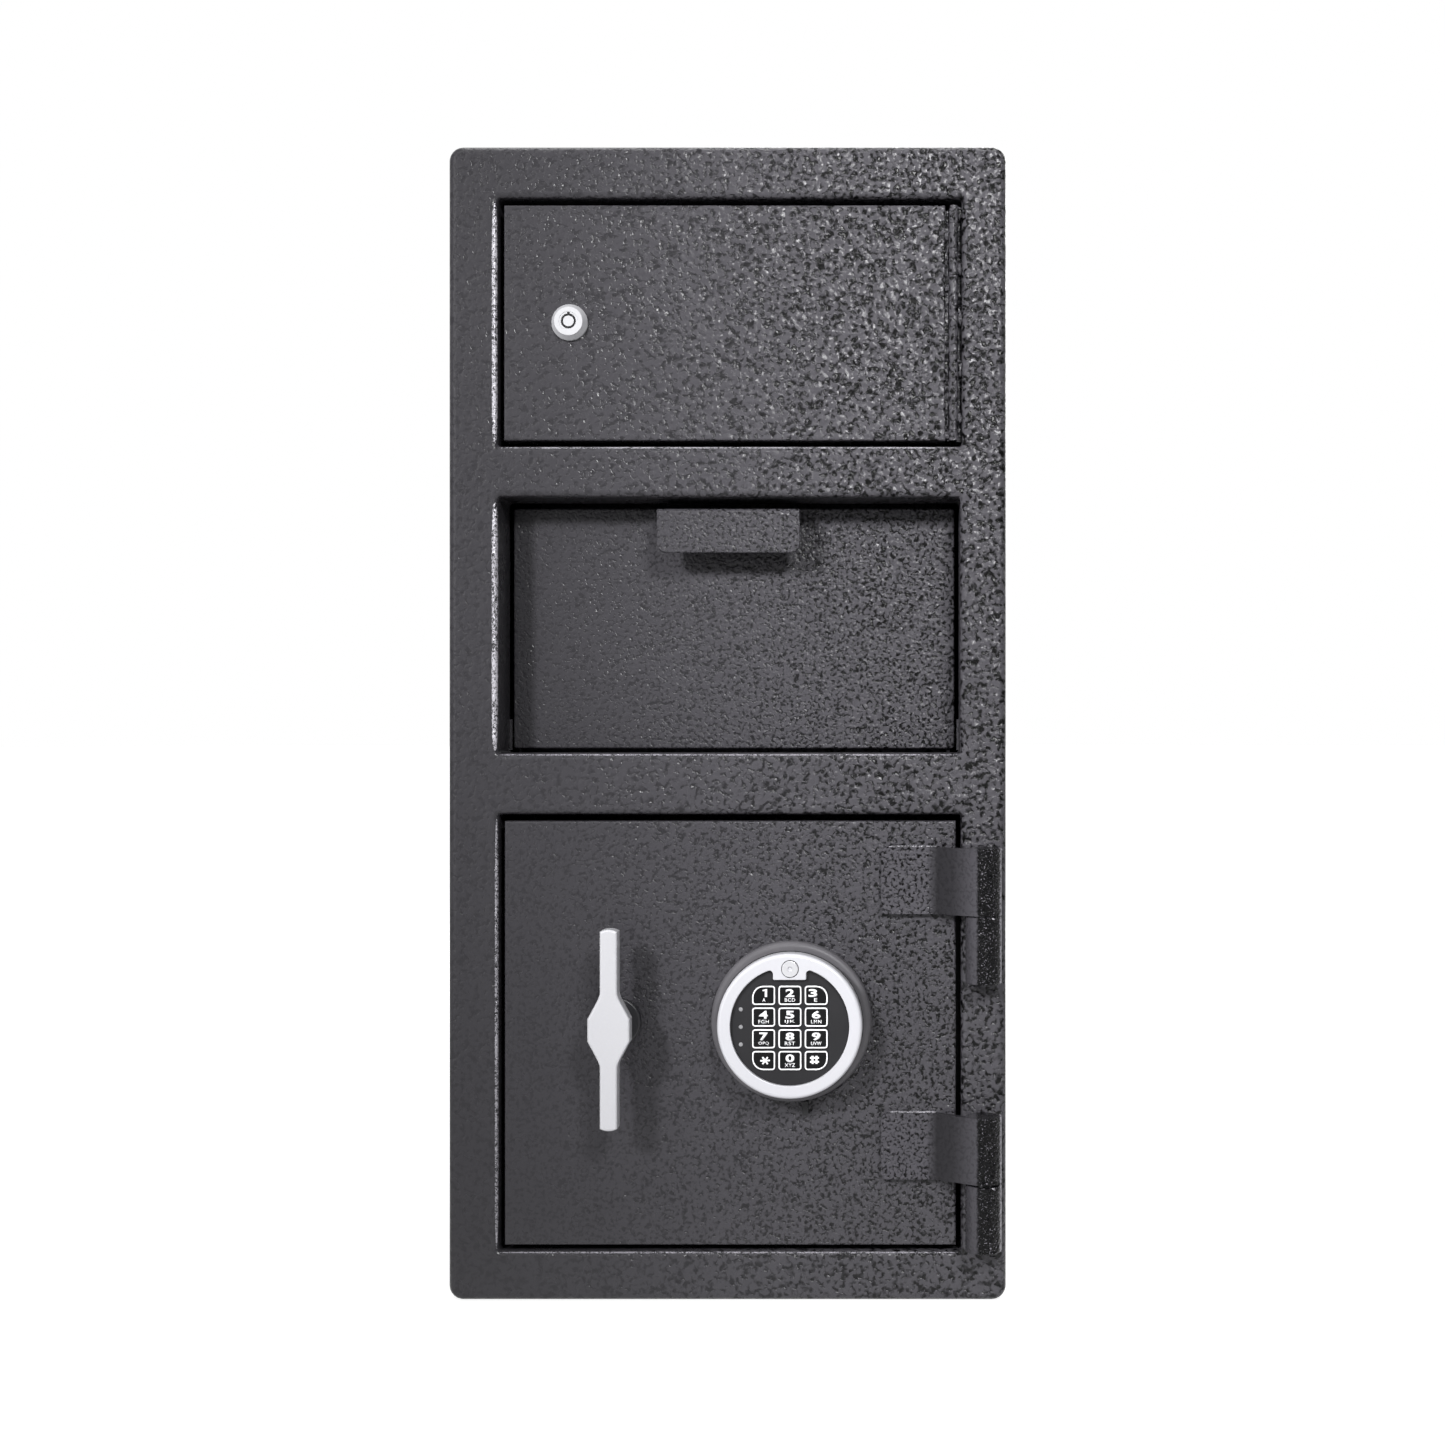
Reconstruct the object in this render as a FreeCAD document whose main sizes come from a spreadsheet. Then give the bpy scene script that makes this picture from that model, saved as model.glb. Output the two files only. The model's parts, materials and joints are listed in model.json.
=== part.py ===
"""Free-standing deposit safe: steel cabinet, keyed locker door on a piano hinge,
tilting deposit hopper and a bolted lower door with T-handle and keypad lock.

Millimetres.  Origin: centre of the underside.  +Z up, front face towards -Y,
X to the right when looking at the front.
"""
import FreeCAD, Part
import math
import os
import re
import Sketcher

V = FreeCAD.Vector
ROT = FreeCAD.Rotation
doc = FreeCAD.newDocument("DepositSafe")

# ---------------------------------------------------------------- dimensions
dims = doc.addObject("Spreadsheet::Sheet", "Dims")
TABLE = [
    ("cab_half", 178), ("cab_top", 737), ("cab_corner", 9), ("cab_edge", 5),
    ("skin", 4), ("wrap_t", 3), ("skirt_back", -158), ("back_in", 175),
    ("lip_r", 4), ("lip_corner", 2),
    ("up_x0", -146.6), ("up_x1", 149.8), ("up_z0", 545.4), ("up_z1", 703.6),
    ("mid_x0", -146.3), ("mid_x1", 148.8), ("mid_z0", 349.4), ("mid_z1", 513.0),
    ("low_x0", -146.0), ("low_x1", 149.2), ("low_z0", 31.7), ("low_z1", 310.3),
    ("ret_short", 22), ("ret_long", 39.4),
    ("shelf_z", 524), ("shelf_t", 3), ("chute_z", 328), ("chute_t", 3),
    ("drop_x0", -144), ("drop_x1", 147), ("drop_y0", -123), ("drop_y1", -16),
    ("anchor_x", 110), ("anchor_y", 100), ("anchor_rad", 7),
    # locker door and its piano hinge
    ("ld_x0", -142.5), ("ld_x1", 139.2), ("ld_z0", 549), ("ld_z1", 699.2),
    ("ld_front", -177.5), ("ld_t", 3), ("ld_flange", 12),
    ("ph_x", 144.5), ("ph_y", -176), ("ph_rad", 3), ("ph_bore", 1.55), ("ph_pin", 1.5),
    ("ph_gap", 0.3),
    # cam lock
    ("cl_x", -100.3), ("cl_z", 624), ("cl_rad", 9.5), ("cl_flange", 11.5),
    ("cl_plug", 6), ("cl_bore", 6.06), ("cam_len", 58), ("cam_w", 14), ("cam_y", -153), ("cam_t", 3),
    # hopper
    ("hp_y", -136), ("hp_z", 360), ("hp_pin", 2.5), ("hp_hole", 2.56),
    ("pan_x0", -143.3), ("pan_x1", 146), ("pan_y", -142), ("pan_t", 3),
    ("pan_z0", 352), ("pan_z1", 509.5),
    ("pull_half", 46), ("pull_z0", 478), ("pull_z1", 506.4), ("pull_y", -170), ("pull_t", 2.5),
    ("pull_corner", 6),
    ("cheek_left", -140.3), ("cheek_right", 141), ("cheek_t", 2), ("cheek_rad", 149),
    ("tray_len", 111.8), ("tray_t", 2), ("tray_off", -6),
    ("baf_in", 113.5), ("baf_t", 2), ("baf_x0", -136.3), ("baf_x1", 139),
    # main door
    ("md_x0", -142), ("md_x1", 146), ("md_z0", 35.6), ("md_z1", 306.1), ("md_t", 10),
    ("hg_x", 163.1), ("hg_y", -190), ("hg_rad", 11.4), ("hg_pin", 5), ("hg_bore", 5.06),
    ("strap_x0", 98.5), ("strap_bend", 132.5), ("strap_t", 5),
    ("bolt_rad", 10), ("bolt_hole", 10.06), ("bolt_y", -144), ("bolt_tip", -138), ("bolt_base", -100),
    ("bolt_za", 75), ("bolt_zb", 171), ("bolt_zc", 267),
    # T-handle, spindle and crank
    ("th_x", -70), ("th_z", 178.5), ("th_half", 61), ("th_arm", 5.45), ("th_hub", 13.15),
    ("th_front", -217), ("th_t", 11), ("sp_rad", 6), ("sp_bore", 6.06), ("pin_off", 10), ("pin_rad", 3.5),
    ("slot_half", 4.2),
    # electronic lock
    ("lk_x0", 20), ("lk_x1", 80), ("lk_z0", 148), ("lk_z1", 210),
    ("lb_z0", 171), ("lb_z1", 186), ("lb_y0", -142), ("lb_y1", -134),
    # keypad
    ("kp_x", 41.3), ("kp_z", 179), ("kp_base", 51), ("kp_drum", 44.5), ("kp_ring", 45.5),
    ("kp_in", 37.3), ("kp_front", -204), ("kp_face", -201), ("kp_seat", -191),
    ("key_w", 14.4), ("key_h", 12.0), ("key_gap", 0.3), ("key_px", 16.45), ("key_pz", 13.6),
    ("key_front", -202.2), ("key_back", -192.5), ("key_x", 41.5), ("key_z", 177.9),
    ("tab_half", 10.4), ("tab_low", 29.1), ("tab_t", 2.6), ("tab_round", 2.2),
    ("key_round", 1.8), ("key_big", 7.0),
]
NAMES = set()
for i, (alias, value) in enumerate(TABLE, 1):
    dims.set("A%d" % i, alias)
    dims.set("B%d" % i, str(value))
    dims.setAlias("B%d" % i, alias)
    NAMES.add(alias)
doc.recompute()


def D(alias):
    return float(dims.get(alias))


def full(expr):
    """Put the sheet's name in front of every alias in an expression."""
    return re.sub(r"[a-z][a-z0-9_]*", lambda m: "Dims." + m.group(0) if m.group(0) in NAMES else m.group(0), expr)


def bind(obj, prop, expr):
    if isinstance(expr, (int, float)):
        expr = repr(float(expr))
    obj.setExpression(prop, full(expr))


def at(obj, x, y, z, rot=None):
    if rot is not None:
        obj.Placement = FreeCAD.Placement(V(0, 0, 0), rot)
    bind(obj, "Placement.Base.x", x)
    bind(obj, "Placement.Base.y", y)
    bind(obj, "Placement.Base.z", z)
    return obj


def box(name, x0, x1, y0, y1, z0, z1):
    b = doc.addObject("Part::Box", name)
    bind(b, "Length", "(%s)-(%s)" % (x1, x0))
    bind(b, "Width", "(%s)-(%s)" % (y1, y0))
    bind(b, "Height", "(%s)-(%s)" % (z1, z0))
    return at(b, x0, y0, z0)


TO_X = ROT(V(0, 1, 0), 90)
TO_Y = ROT(V(1, 0, 0), -90)


def cyl(name, r, x, y, z, length, axis="y", angle=None, start=0.0):
    """Cylinder from (x, y, z) along +axis."""
    c = doc.addObject("Part::Cylinder", name)
    bind(c, "Radius", r)
    bind(c, "Height", length)
    if angle is not None:
        c.Angle = angle
    rot = {"x": TO_X, "y": TO_Y, "z": ROT()}[axis]
    return at(c, x, y, z, rot.multiply(ROT(V(0, 0, 1), start)))


def cone(name, r1, r2, x, y, z, length, axis="y"):
    c = doc.addObject("Part::Cone", name)
    bind(c, "Radius1", r1)
    bind(c, "Radius2", r2)
    bind(c, "Height", length)
    return at(c, x, y, z, {"x": TO_X, "y": TO_Y, "z": ROT()}[axis])


def fuse(name, parts):
    f = doc.addObject("Part::MultiFuse", name)
    f.Shapes = parts
    f.Refine = True
    return f


def cut(name, base, tools):
    if isinstance(tools, list):
        tools = tools[0] if len(tools) == 1 else fuse(name + "_tools", tools)
    c = doc.addObject("Part::Cut", name)
    c.Base = base
    c.Tool = tools
    c.Refine = True
    return c


def group(name, parts):
    g = doc.addObject("Part::Compound", name)
    g.Links = parts
    return g


def fillet(name, base, rad, pick, kind="Part::Fillet"):
    """Round the edges whose bounding box passes the test."""
    doc.recompute()
    f = doc.addObject(kind, name)
    f.Base = base
    chosen = []
    for i, e in enumerate(base.Shape.Edges, 1):
        if pick(e.BoundBox, e):
            chosen.append((i, rad, rad))
    if not chosen:
        raise SystemExit("no edge chosen for " + name)
    f.Edges = chosen
    doc.recompute()
    if f.Shape.isNull() or not f.Shape.isValid():
        raise SystemExit("rounding failed on " + name)
    return f


def along(axis):
    """Test for a straight edge along one axis."""
    def test(b, e):
        spans = {"x": b.XLength, "y": b.YLength, "z": b.ZLength}
        return spans[axis] > 0.5 and all(s < 1e-4 for a, s in spans.items() if a != axis)
    return test


def on_y(y):
    return lambda b, e: abs(b.YMin - y) < 1e-4 and abs(b.YMax - y) < 1e-4


# PartDesign helpers: a body, a sketch on one of its own origin planes, a constrained rectangle
def body(name):
    return doc.addObject("PartDesign::Body", name)


def sketch(bd, name, role, offset):
    sk = bd.newObject("Sketcher::SketchObject", name)
    plane = [f for f in bd.Origin.OriginFeatures if f.Role == role][0]
    sk.AttachmentSupport = [(plane, "")]
    sk.MapMode = "FlatFace"
    bind(sk, "AttachmentOffset.Base.z", offset)
    return sk


def rect(sk, u0, u1, v0, v1, start):
    """Rectangle with its four sides tied to the sheet; start holds rough values."""
    a0, a1, b0, b1 = start
    pts = [V(a0, b0, 0), V(a1, b0, 0), V(a1, b1, 0), V(a0, b1, 0)]
    base = sk.GeometryCount
    for i in range(4):
        sk.addGeometry(Part.LineSegment(pts[i], pts[(i + 1) % 4]), False)
    C = Sketcher.Constraint
    for i in range(4):
        sk.addConstraint(C("Coincident", base + i, 2, base + (i + 1) % 4, 1))
    sk.addConstraint(C("Horizontal", base))
    sk.addConstraint(C("Vertical", base + 1))
    sk.addConstraint(C("Horizontal", base + 2))
    sk.addConstraint(C("Vertical", base + 3))
    for kind, geo, pos, value, expr in (
        ("DistanceX", base, 1, a0, u0), ("DistanceX", base, 2, a1, u1),
        ("DistanceY", base, 1, b0, v0), ("DistanceY", base + 2, 1, b1, v1),
    ):
        n = sk.addConstraint(C(kind, -1, 1, geo, pos, float(value)))
        bind(sk, "Constraints[%d]" % n, expr)


def circle(sk, u, v, r, start):
    a, b, rr = start
    g = sk.addGeometry(Part.Circle(V(a, b, 0), V(0, 0, 1), rr), False)
    C = Sketcher.Constraint
    for c, expr in (
        (C("DistanceX", -1, 1, g, 3, float(a)), u), (C("DistanceY", -1, 1, g, 3, float(b)), v),
        (C("Radius", g, float(rr)), r),
    ):
        n = sk.addConstraint(c)
        bind(sk, "Constraints[%d]" % n, expr)


def pad(bd, sk, name, length, reverse):
    p = bd.newObject("PartDesign::Pad", name)
    p.Profile = sk
    bind(p, "Length", length)
    p.Reversed = reverse
    doc.recompute()
    return p


def pocket(bd, sk, name, length, reverse):
    before = bd.Shape.Volume
    p = bd.newObject("PartDesign::Pocket", name)
    p.Profile = sk
    bind(p, "Length", length)
    p.Reversed = reverse
    doc.recompute()
    if bd.Shape.Volume > before - 1e-3:
        p.Reversed = not reverse
        doc.recompute()
    if bd.Shape.Volume > before - 1e-3:
        raise SystemExit("pocket cut nothing: " + name)
    return p


def pd_fillet(bd, feat, name, rad, pick):
    doc.recompute()
    names = ["Edge%d" % i for i, e in enumerate(feat.Shape.Edges, 1) if pick(e.BoundBox, e)]
    if not names:
        raise SystemExit("no edge chosen for " + name)
    f = bd.newObject("PartDesign::Fillet", name)
    f.Base = (feat, names)
    bind(f, "Radius", rad)
    doc.recompute()
    return f


NODES = {}


def node(name, obj):
    obj.Label = name
    NODES[name] = obj
    return obj


# =================================================================== cabinet
# Front pan: flat face with rolled outer edges, a short skirt, and three openings
# whose edges are rolled inwards into return walls.
f0 = box("FramePan", "-cab_half", "cab_half", "-cab_half", "skirt_back", 0, "cab_top")
f0 = fillet("FramePanCorners", f0, D("cab_corner"), along("y"))
f0 = fillet("FramePanEdge", f0, D("cab_edge"), on_y(-D("cab_half")))
hollow = box("FrameHollow", "-cab_half+skin", "cab_half-skin", "-cab_half+skin", "skirt_back+1", "skin", "cab_top-skin")
hollow = fillet("FrameHollowCorners", hollow, D("cab_corner") - D("skin"), along("y"))
f1 = cut("FrameDish", f0, hollow)
blocks, holes = [], []
for tag, ret in (("up", "ret_short"), ("mid", "ret_long"), ("low", "ret_short")):
    blocks.append(box("Return_" + tag, tag + "_x0-skin", tag + "_x1+skin", "-cab_half+skin/2", "-cab_half+" + ret,
                      tag + "_z0-skin", tag + "_z1+skin"))
    hole = box("Opening_" + tag, tag + "_x0", tag + "_x1", "-cab_half-1", "-cab_half+" + ret + "+1", tag + "_z0", tag + "_z1")
    holes.append(fillet("OpeningCorners_" + tag, hole, D("lip_corner"), along("y")))
f2 = fuse("FrameReturns", [f1] + blocks)
f3 = cut("FrameOpenings", f2, holes)
half = D("cab_half")


def lips(b, e):
    return on_y(-half)(b, e) and b.XMin > -160 and b.XMax < 160 and b.ZMin > 20 and b.ZMax < 720


node("front_frame", fillet("FrameLips", f3, D("lip_r") - 0.05, lips))

# Wrap: one folded sheet for sides, top and floor, four anchor holes in the floor.
w0 = fillet("WrapOuter", box("WrapBlock", "-cab_half", "cab_half", "skirt_back", "back_in", 0, "cab_top"), D("cab_corner"), along("y"))
w1 = fillet("WrapInner", box("WrapVoid", "-cab_half+wrap_t", "cab_half-wrap_t", "skirt_back-1", "back_in+1", "wrap_t", "cab_top-wrap_t"),
            D("cab_corner") - D("wrap_t"), along("y"))
anchors = [cyl("Anchor%d" % i, "anchor_rad", "%s*anchor_x" % sx, "%s*anchor_y" % sy, -1, "wrap_t+2", "z")
           for i, (sx, sy) in enumerate((("1", "1"), ("-1", "1"), ("-1", "-1"), ("1", "-1")))]
node("body_wrap", cut("Wrap", w0, [w1] + anchors))

bk = fillet("BackCorners", box("BackPlate", "-cab_half", "cab_half", "back_in", "cab_half", 0, "cab_top"), D("cab_corner"), along("y"))
node("back_panel", fillet("BackEdge", bk, 2.0, on_y(half)))

node("locker_floor", box("LockerFloor", "-cab_half+skin", "cab_half-skin", "-cab_half+skin", "back_in", "shelf_z", "shelf_z+shelf_t"))
node("chute_floor", cut("ChuteFloor",
     box("ChutePlate", "-cab_half+skin", "cab_half-skin", "-cab_half+skin", "back_in", "chute_z", "chute_z+chute_t"),
     box("ChuteDrop", "drop_x0", "drop_x1", "drop_y0", "drop_y1", "chute_z-1", "chute_z+chute_t+1")))

# Anti-fishing baffle: part of a cylinder about the hopper pivot, hung from the shelf.
arc = cut("BaffleArc", cyl("BaffleOuter", "baf_in+baf_t", "baf_x0", "hp_y", "hp_z", "baf_x1-baf_x0", "x", 65, 85.0),
          cyl("BaffleInner", "baf_in", "baf_x0-1", "hp_y", "hp_z", "baf_x1-baf_x0+2", "x"))
node("hopper_baffle", fuse("Baffle", [
    arc,
    box("BaffleWeb", "baf_x0", "baf_x1", "hp_y+56.2", "hp_y+58.2", "hp_z+99", "shelf_z"),
    box("BaffleFlange", "baf_x0", "baf_x1", "hp_y+56.2", "hp_y+80", "shelf_z-2", "shelf_z")]))
lugs = [cut("LugL", box("LugLBlock", "mid_x0-skin", "mid_x0+1.5", "-cab_half+ret_long", "hp_y+7", "hp_z-9", "hp_z+11"),
            cyl("LugLHole", "hp_pin", "mid_x0-skin-1", "hp_y", "hp_z", 20, "x")),
        cut("LugR", box("LugRBlock", "mid_x1-1.5", "mid_x1+skin", "-cab_half+ret_long", "hp_y+7", "hp_z-9", "hp_z+11"),
            cyl("LugRHole", "hp_pin", "mid_x1-10", "hp_y", "hp_z", 20, "x"))]
node("hopper_pivot_lugs", group("Lugs", lugs))
node("hopper_pivot_pins", group("PivotPins", [
    cyl("PivotPinL", "hp_pin", "mid_x0-skin", "hp_y", "hp_z", "cheek_left+cheek_t-0.1-(mid_x0-skin)", "x"),
    cyl("PivotPinR", "hp_pin", "cheek_right+0.1", "hp_y", "hp_z", "mid_x1+skin-(cheek_right+0.1)", "x")]))

# Piano hinge, frame side: knuckles alternate down the axis, starting with the frame.
JOINTS = [699.0, 687.7, 671.9, 654.7, 638.0, 621.7, 605.4, 588.7, 572.2, 555.7, 549.0]
g = D("ph_gap") / 2.0
frame_k, door_k = [], []
for i in range(10):
    top, low = JOINTS[i] - g, JOINTS[i + 1] + g
    (frame_k if i % 2 == 0 else door_k).append((low, top))
parts = []
for i, (low, top) in enumerate(frame_k):
    parts.append(cyl("FrameKnuckle%d" % i, "ph_rad", "ph_x", "ph_y", low, top - low, "z"))
    parts.append(box("FrameFinger%d" % i, "ph_x+ph_rad-1.4", "ph_x+ph_rad", "ph_y", "ph_y+4", low, top))
parts.append(box("FrameLeaf", "ph_x+ph_rad-1.4", "ph_x+ph_rad", "ph_y+3.5", "ph_y+19", "ld_z0", "ld_z1"))
parts.append(box("FrameLeafPad", "ph_x+ph_rad", "up_x1", "ph_y+6", "ph_y+18", "ld_z0", "ld_z1"))
node("locker_hinge_frame_leaf", cut("FrameLeafBored", fuse("FrameLeafSet", parts),
     cyl("FrameLeafBore", "ph_bore", "ph_x", "ph_y", 540, 170, "z")))
node("locker_hinge_pin", cyl("PianoPin", "ph_pin", "ph_x", "ph_y", "ld_z0", "ld_z1-ld_z0", "z"))

# Main hinges: lower knuckle on the frame, upper knuckle on the door, lift-off pin.
knu = []
for i, (z0, z1) in enumerate(((204.1, 246.6), (35.2, 77.3))):
    b = cyl("HingeLower%d" % i, "hg_rad", "hg_x", "hg_y", z0, z1 - z0, "z")
    b = fillet("HingeLowerEdge%d" % i, b, 1.2, lambda bb, e: e.Curve.TypeId == "Part::GeomCircle")
    foot = box("HingeFoot%d" % i, "hg_x-7", "hg_x+7", "hg_y+4", "-cab_half", z0 + 1.2, z1 - 1.2)
    knu.append(cut("HingeLowerBored%d" % i, fuse("HingeLowerSet%d" % i, [b, foot]),
                   cyl("HingeLowerBore%d" % i, "hg_pin", "hg_x", "hg_y", z0 + 4, 60, "z")))
node("main_hinge_frame_knuckles", group("HingeLowers", knu))
node("main_hinge_pins", group("HingePins", [
    cyl("HingePinA", "hg_pin", "hg_x", "hg_y", 208.1, 76, "z"),
    cyl("HingePinB", "hg_pin", "hg_x", "hg_y", 39.2, 76, "z")]))

# =============================================================== locker door
bd = body("LockerDoorBody")
sk = sketch(bd, "LockerDoorFace", "XZ_Plane", "-ld_front")
rect(sk, "ld_x0", "ld_x1", "ld_z0", "ld_z1", (-140, 140, 550, 700))
p = pad(bd, sk, "LockerDoorPad", "ld_t+ld_flange", True)
sk2 = sketch(bd, "LockerDoorPan", "XZ_Plane", "-ld_front-ld_t-ld_flange")
rect(sk2, "ld_x0+2", "ld_x1+1", "ld_z0+2", "ld_z1-2", (-138, 141, 552, 698))
pocket(bd, sk2, "LockerDoorHollow", "ld_flange", False)
sk3 = sketch(bd, "LockerDoorLock", "XZ_Plane", "-ld_front")
circle(sk3, "cl_x", "cl_z", "cl_rad+0.1", (-100, 620, 9))
pk = pocket(bd, sk3, "LockerDoorLockHole", "ld_t+1", False)
fr = D("ld_front")
pd_fillet(bd, pk, "LockerDoorEdge", 1.2, lambda b, e: on_y(fr)(b, e) and e.Curve.TypeId == "Part::GeomLine")
node("locker_door_panel", bd)

parts = []
for i, (low, top) in enumerate(door_k):
    parts.append(cyl("DoorKnuckle%d" % i, "ph_rad", "ph_x", "ph_y", low, top - low, "z"))
    parts.append(box("DoorFinger%d" % i, "ph_x-4", "ph_x", "ph_y+1.6", "ph_y+ph_rad", low, top))
parts.append(box("DoorLeaf", "ph_x-32", "ph_x-3.5", "ld_front+ld_t", "ph_y+ph_rad", "ld_z0+3", "ld_z1-3"))
node("locker_hinge_door_leaf", cut("DoorLeafBored", fuse("DoorLeafSet", parts),
     cyl("DoorLeafBore", "ph_bore", "ph_x", "ph_y", 540, 170, "z")))

# Tubular cam lock: body with bevelled collar, hexagon nut behind the plate.
hs = fuse("LockBody", [
    cyl("LockBarrel", "cl_rad", "cl_x", "ld_front-1", "cl_z", 22.5, "y"),
    cyl("LockFlange", "cl_flange", "cl_x", "ld_front-2", "cl_z", 2, "y"),
    cone("LockBevel", 9.0, "cl_flange", "cl_x", "ld_front-6.5", "cl_z", 4.5, "y")])
node("cam_lock_housing", cut("LockBodyBored", hs, cyl("LockBore", "cl_bore", "cl_x", "ld_front-10", "cl_z", 60, "y")))
hexn = doc.addObject("Part::Prism", "LockNutHex")
hexn.Polygon = 6
hexn.Circumradius = 13.8
hexn.Height = 4
at(hexn, "cl_x", "ld_front+ld_t", "cl_z", TO_Y)
node("cam_lock_nut", cut("LockNut", hexn, cyl("LockNutBore", "cl_rad", "cl_x", "ld_front", "cl_z", 20, "y")))

# ================================================================== cam lock
plug = fuse("PlugSet", [
    cyl("PlugCore", "cl_plug", "cl_x", "ld_front-6.2", "cl_z", "cam_y-(ld_front-6.2)", "y"),
    cyl("PlugTail", 4.5, "cl_x", "cam_y", "cl_z", "cam_t", "y")])
ring = cut("KeywayRing", cyl("KeywayOuter", 4.8, "cl_x", "ld_front-7", "cl_z", 6.8, "y"),
           cyl("KeywayPost", 3.4, "cl_x", "ld_front-8", "cl_z", 9, "y"))
notch = box("KeywayNotch", "cl_x-0.8", "cl_x+0.8", "ld_front-7", "ld_front-0.2", "cl_z+4.4", "cl_z+5.7")
node("cam_lock_plug", cut("Plug", plug, [ring, notch]))
cam = fuse("CamSet", [
    cyl("CamHub", "cam_w/2+1.5", "cl_x", "cam_y", "cl_z", "cam_t", "y"),
    box("CamBlade", "cl_x-cam_w/2", "cl_x+cam_w/2", "cam_y", "cam_y+cam_t", "cl_z-cam_len", "cl_z")])
node("cam_arm", cut("Cam", cam, cyl("CamBore", 4.5, "cl_x", "cam_y-1", "cl_z", 6, "y")))
hx = doc.addObject("Part::Prism", "CamScrewHex")
hx.Polygon = 6
hx.Circumradius = 6.0
hx.Height = 3.5
node("cam_screw", at(hx, "cl_x", "cam_y+cam_t", "cl_z", TO_Y))

# ==================================================================== hopper
bd = body("HopperPanelBody")
sk = sketch(bd, "HopperPanelFace", "XZ_Plane", "-pan_y")
rect(sk, "pan_x0", "pan_x1", "pan_z0", "pan_z1", (-143, 146, 352, 509))
p = pad(bd, sk, "HopperPanelPad", "pan_t", True)
p = pd_fillet(bd, p, "HopperPanelCorners", 2.0, along("y"))
py = D("pan_y")
pd_fillet(bd, p, "HopperPanelEdge", 1.3, on_y(py))
node("hopper_panel", bd)

# Pull: bent plate, front lip turned down from a web on the panel.
pl = box("PullLip", "-pull_half", "pull_half", "pull_y", "pull_y+pull_t", "pull_z0", "pull_z1")
pl = fillet("PullLipCorners", pl, D("pull_corner"), lambda b, e: along("y")(b, e) and b.ZMax < D("pull_z0") + 1)
pw = box("PullWeb", "-pull_half", "pull_half", "pull_y", "pan_y", "pull_z1-pull_t", "pull_z1")
pf = fuse("PullSet", [pl, pw])
pyy, pzz = D("pull_y"), D("pull_z1")
pf = fillet("PullBend", pf, 2.2, lambda b, e: along("x")(b, e) and abs(b.YMin - pyy) < 0.01 and abs(b.ZMin - pzz) < 0.01)
node("hopper_pull", fillet("PullEdges", pf, 0.9, lambda b, e: abs(b.YMin - pyy) < 0.01 and abs(b.YMax - pyy) < 0.01 and not along("x")(b, e) or
                           (along("x")(b, e) and abs(b.YMin - pyy) < 0.01 and b.ZMin < D("pull_z0") + 1)))

# Cheeks: the outline swings about the pivot and stays inside the mouth of the hopper.
oy, oz = D("hp_y"), D("hp_z")


def polar(r, deg):
    return V(0, oy + r * math.cos(math.radians(deg)), oz + r * math.sin(math.radians(deg)))


rc = D("cheek_rad")
front_deg = math.degrees(math.acos(-3.0 / rc))
a, m, b2 = polar(rc, front_deg), polar(rc, (front_deg + 42.0) / 2), polar(rc, 42.0)
tip1 = V(0, oy + 0.70711 * (113 + 3), oz - 0.70711 * (113 - 3))
tip2 = V(0, oy + 0.70711 * (113 - 8), oz - 0.70711 * (113 + 8))
low1 = V(0, oy - 3.0, oz - 8.31)
edges = [Part.Arc(a, m, b2).toShape(), Part.makeLine(b2, tip1), Part.makeLine(tip1, tip2),
         Part.makeLine(tip2, low1), Part.makeLine(low1, a)]
face = Part.Face(Part.Wire(edges))
cheeks = []
for tag, x in (("L", "cheek_left"), ("R", "cheek_right")):
    ch = doc.addObject("Part::Feature", "Cheek" + tag)
    ch.Shape = face.extrude(V(D("cheek_t"), 0, 0))
    at(ch, x, 0, 0)
    cheeks.append(cut("CheekBored" + tag, ch, cyl("CheekHole" + tag, "hp_hole", x + "-1", "hp_y", "hp_z", "cheek_t+2", "x")))
node("hopper_cheeks", group("Cheeks", cheeks))

# Tray: a sheet between the cheeks that slopes down behind the closed panel.
tr = doc.addObject("Part::Box", "Tray")
bind(tr, "Length", "cheek_right-(cheek_left+cheek_t)")
bind(tr, "Width", "tray_len-3")
bind(tr, "Height", "tray_t")
tr.Placement = FreeCAD.Placement(V(0, 0, 0), ROT(V(1, 0, 0), -45))
bind(tr, "Placement.Base.x", "cheek_left+cheek_t")
bind(tr, "Placement.Base.y", "hp_y+0.70711*(3+tray_off)")
bind(tr, "Placement.Base.z", "hp_z+0.70711*(-3+tray_off)")
node("hopper_tray", tr)

# ================================================================= main door
bd = body("MainDoorBody")
sk = sketch(bd, "MainDoorFace", "XZ_Plane", "cab_half")
rect(sk, "md_x0", "md_x1", "md_z0", "md_z1", (-142, 146, 36, 306))
p = pad(bd, sk, "MainDoorPad", "md_t", True)
sk2 = sketch(bd, "MainDoorHoles", "XZ_Plane", "cab_half")
circle(sk2, "th_x", "th_z", 9, (-70, 178, 9))
circle(sk2, "kp_x", "kp_z", 5, (41, 179, 5))
pk = pocket(bd, sk2, "MainDoorHolesCut", "md_t+1", False)
pd_fillet(bd, pk, "MainDoorEdge", 1.5, lambda b, e: on_y(-half)(b, e) and e.Curve.TypeId == "Part::GeomLine")
node("main_door_plate", bd)

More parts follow.
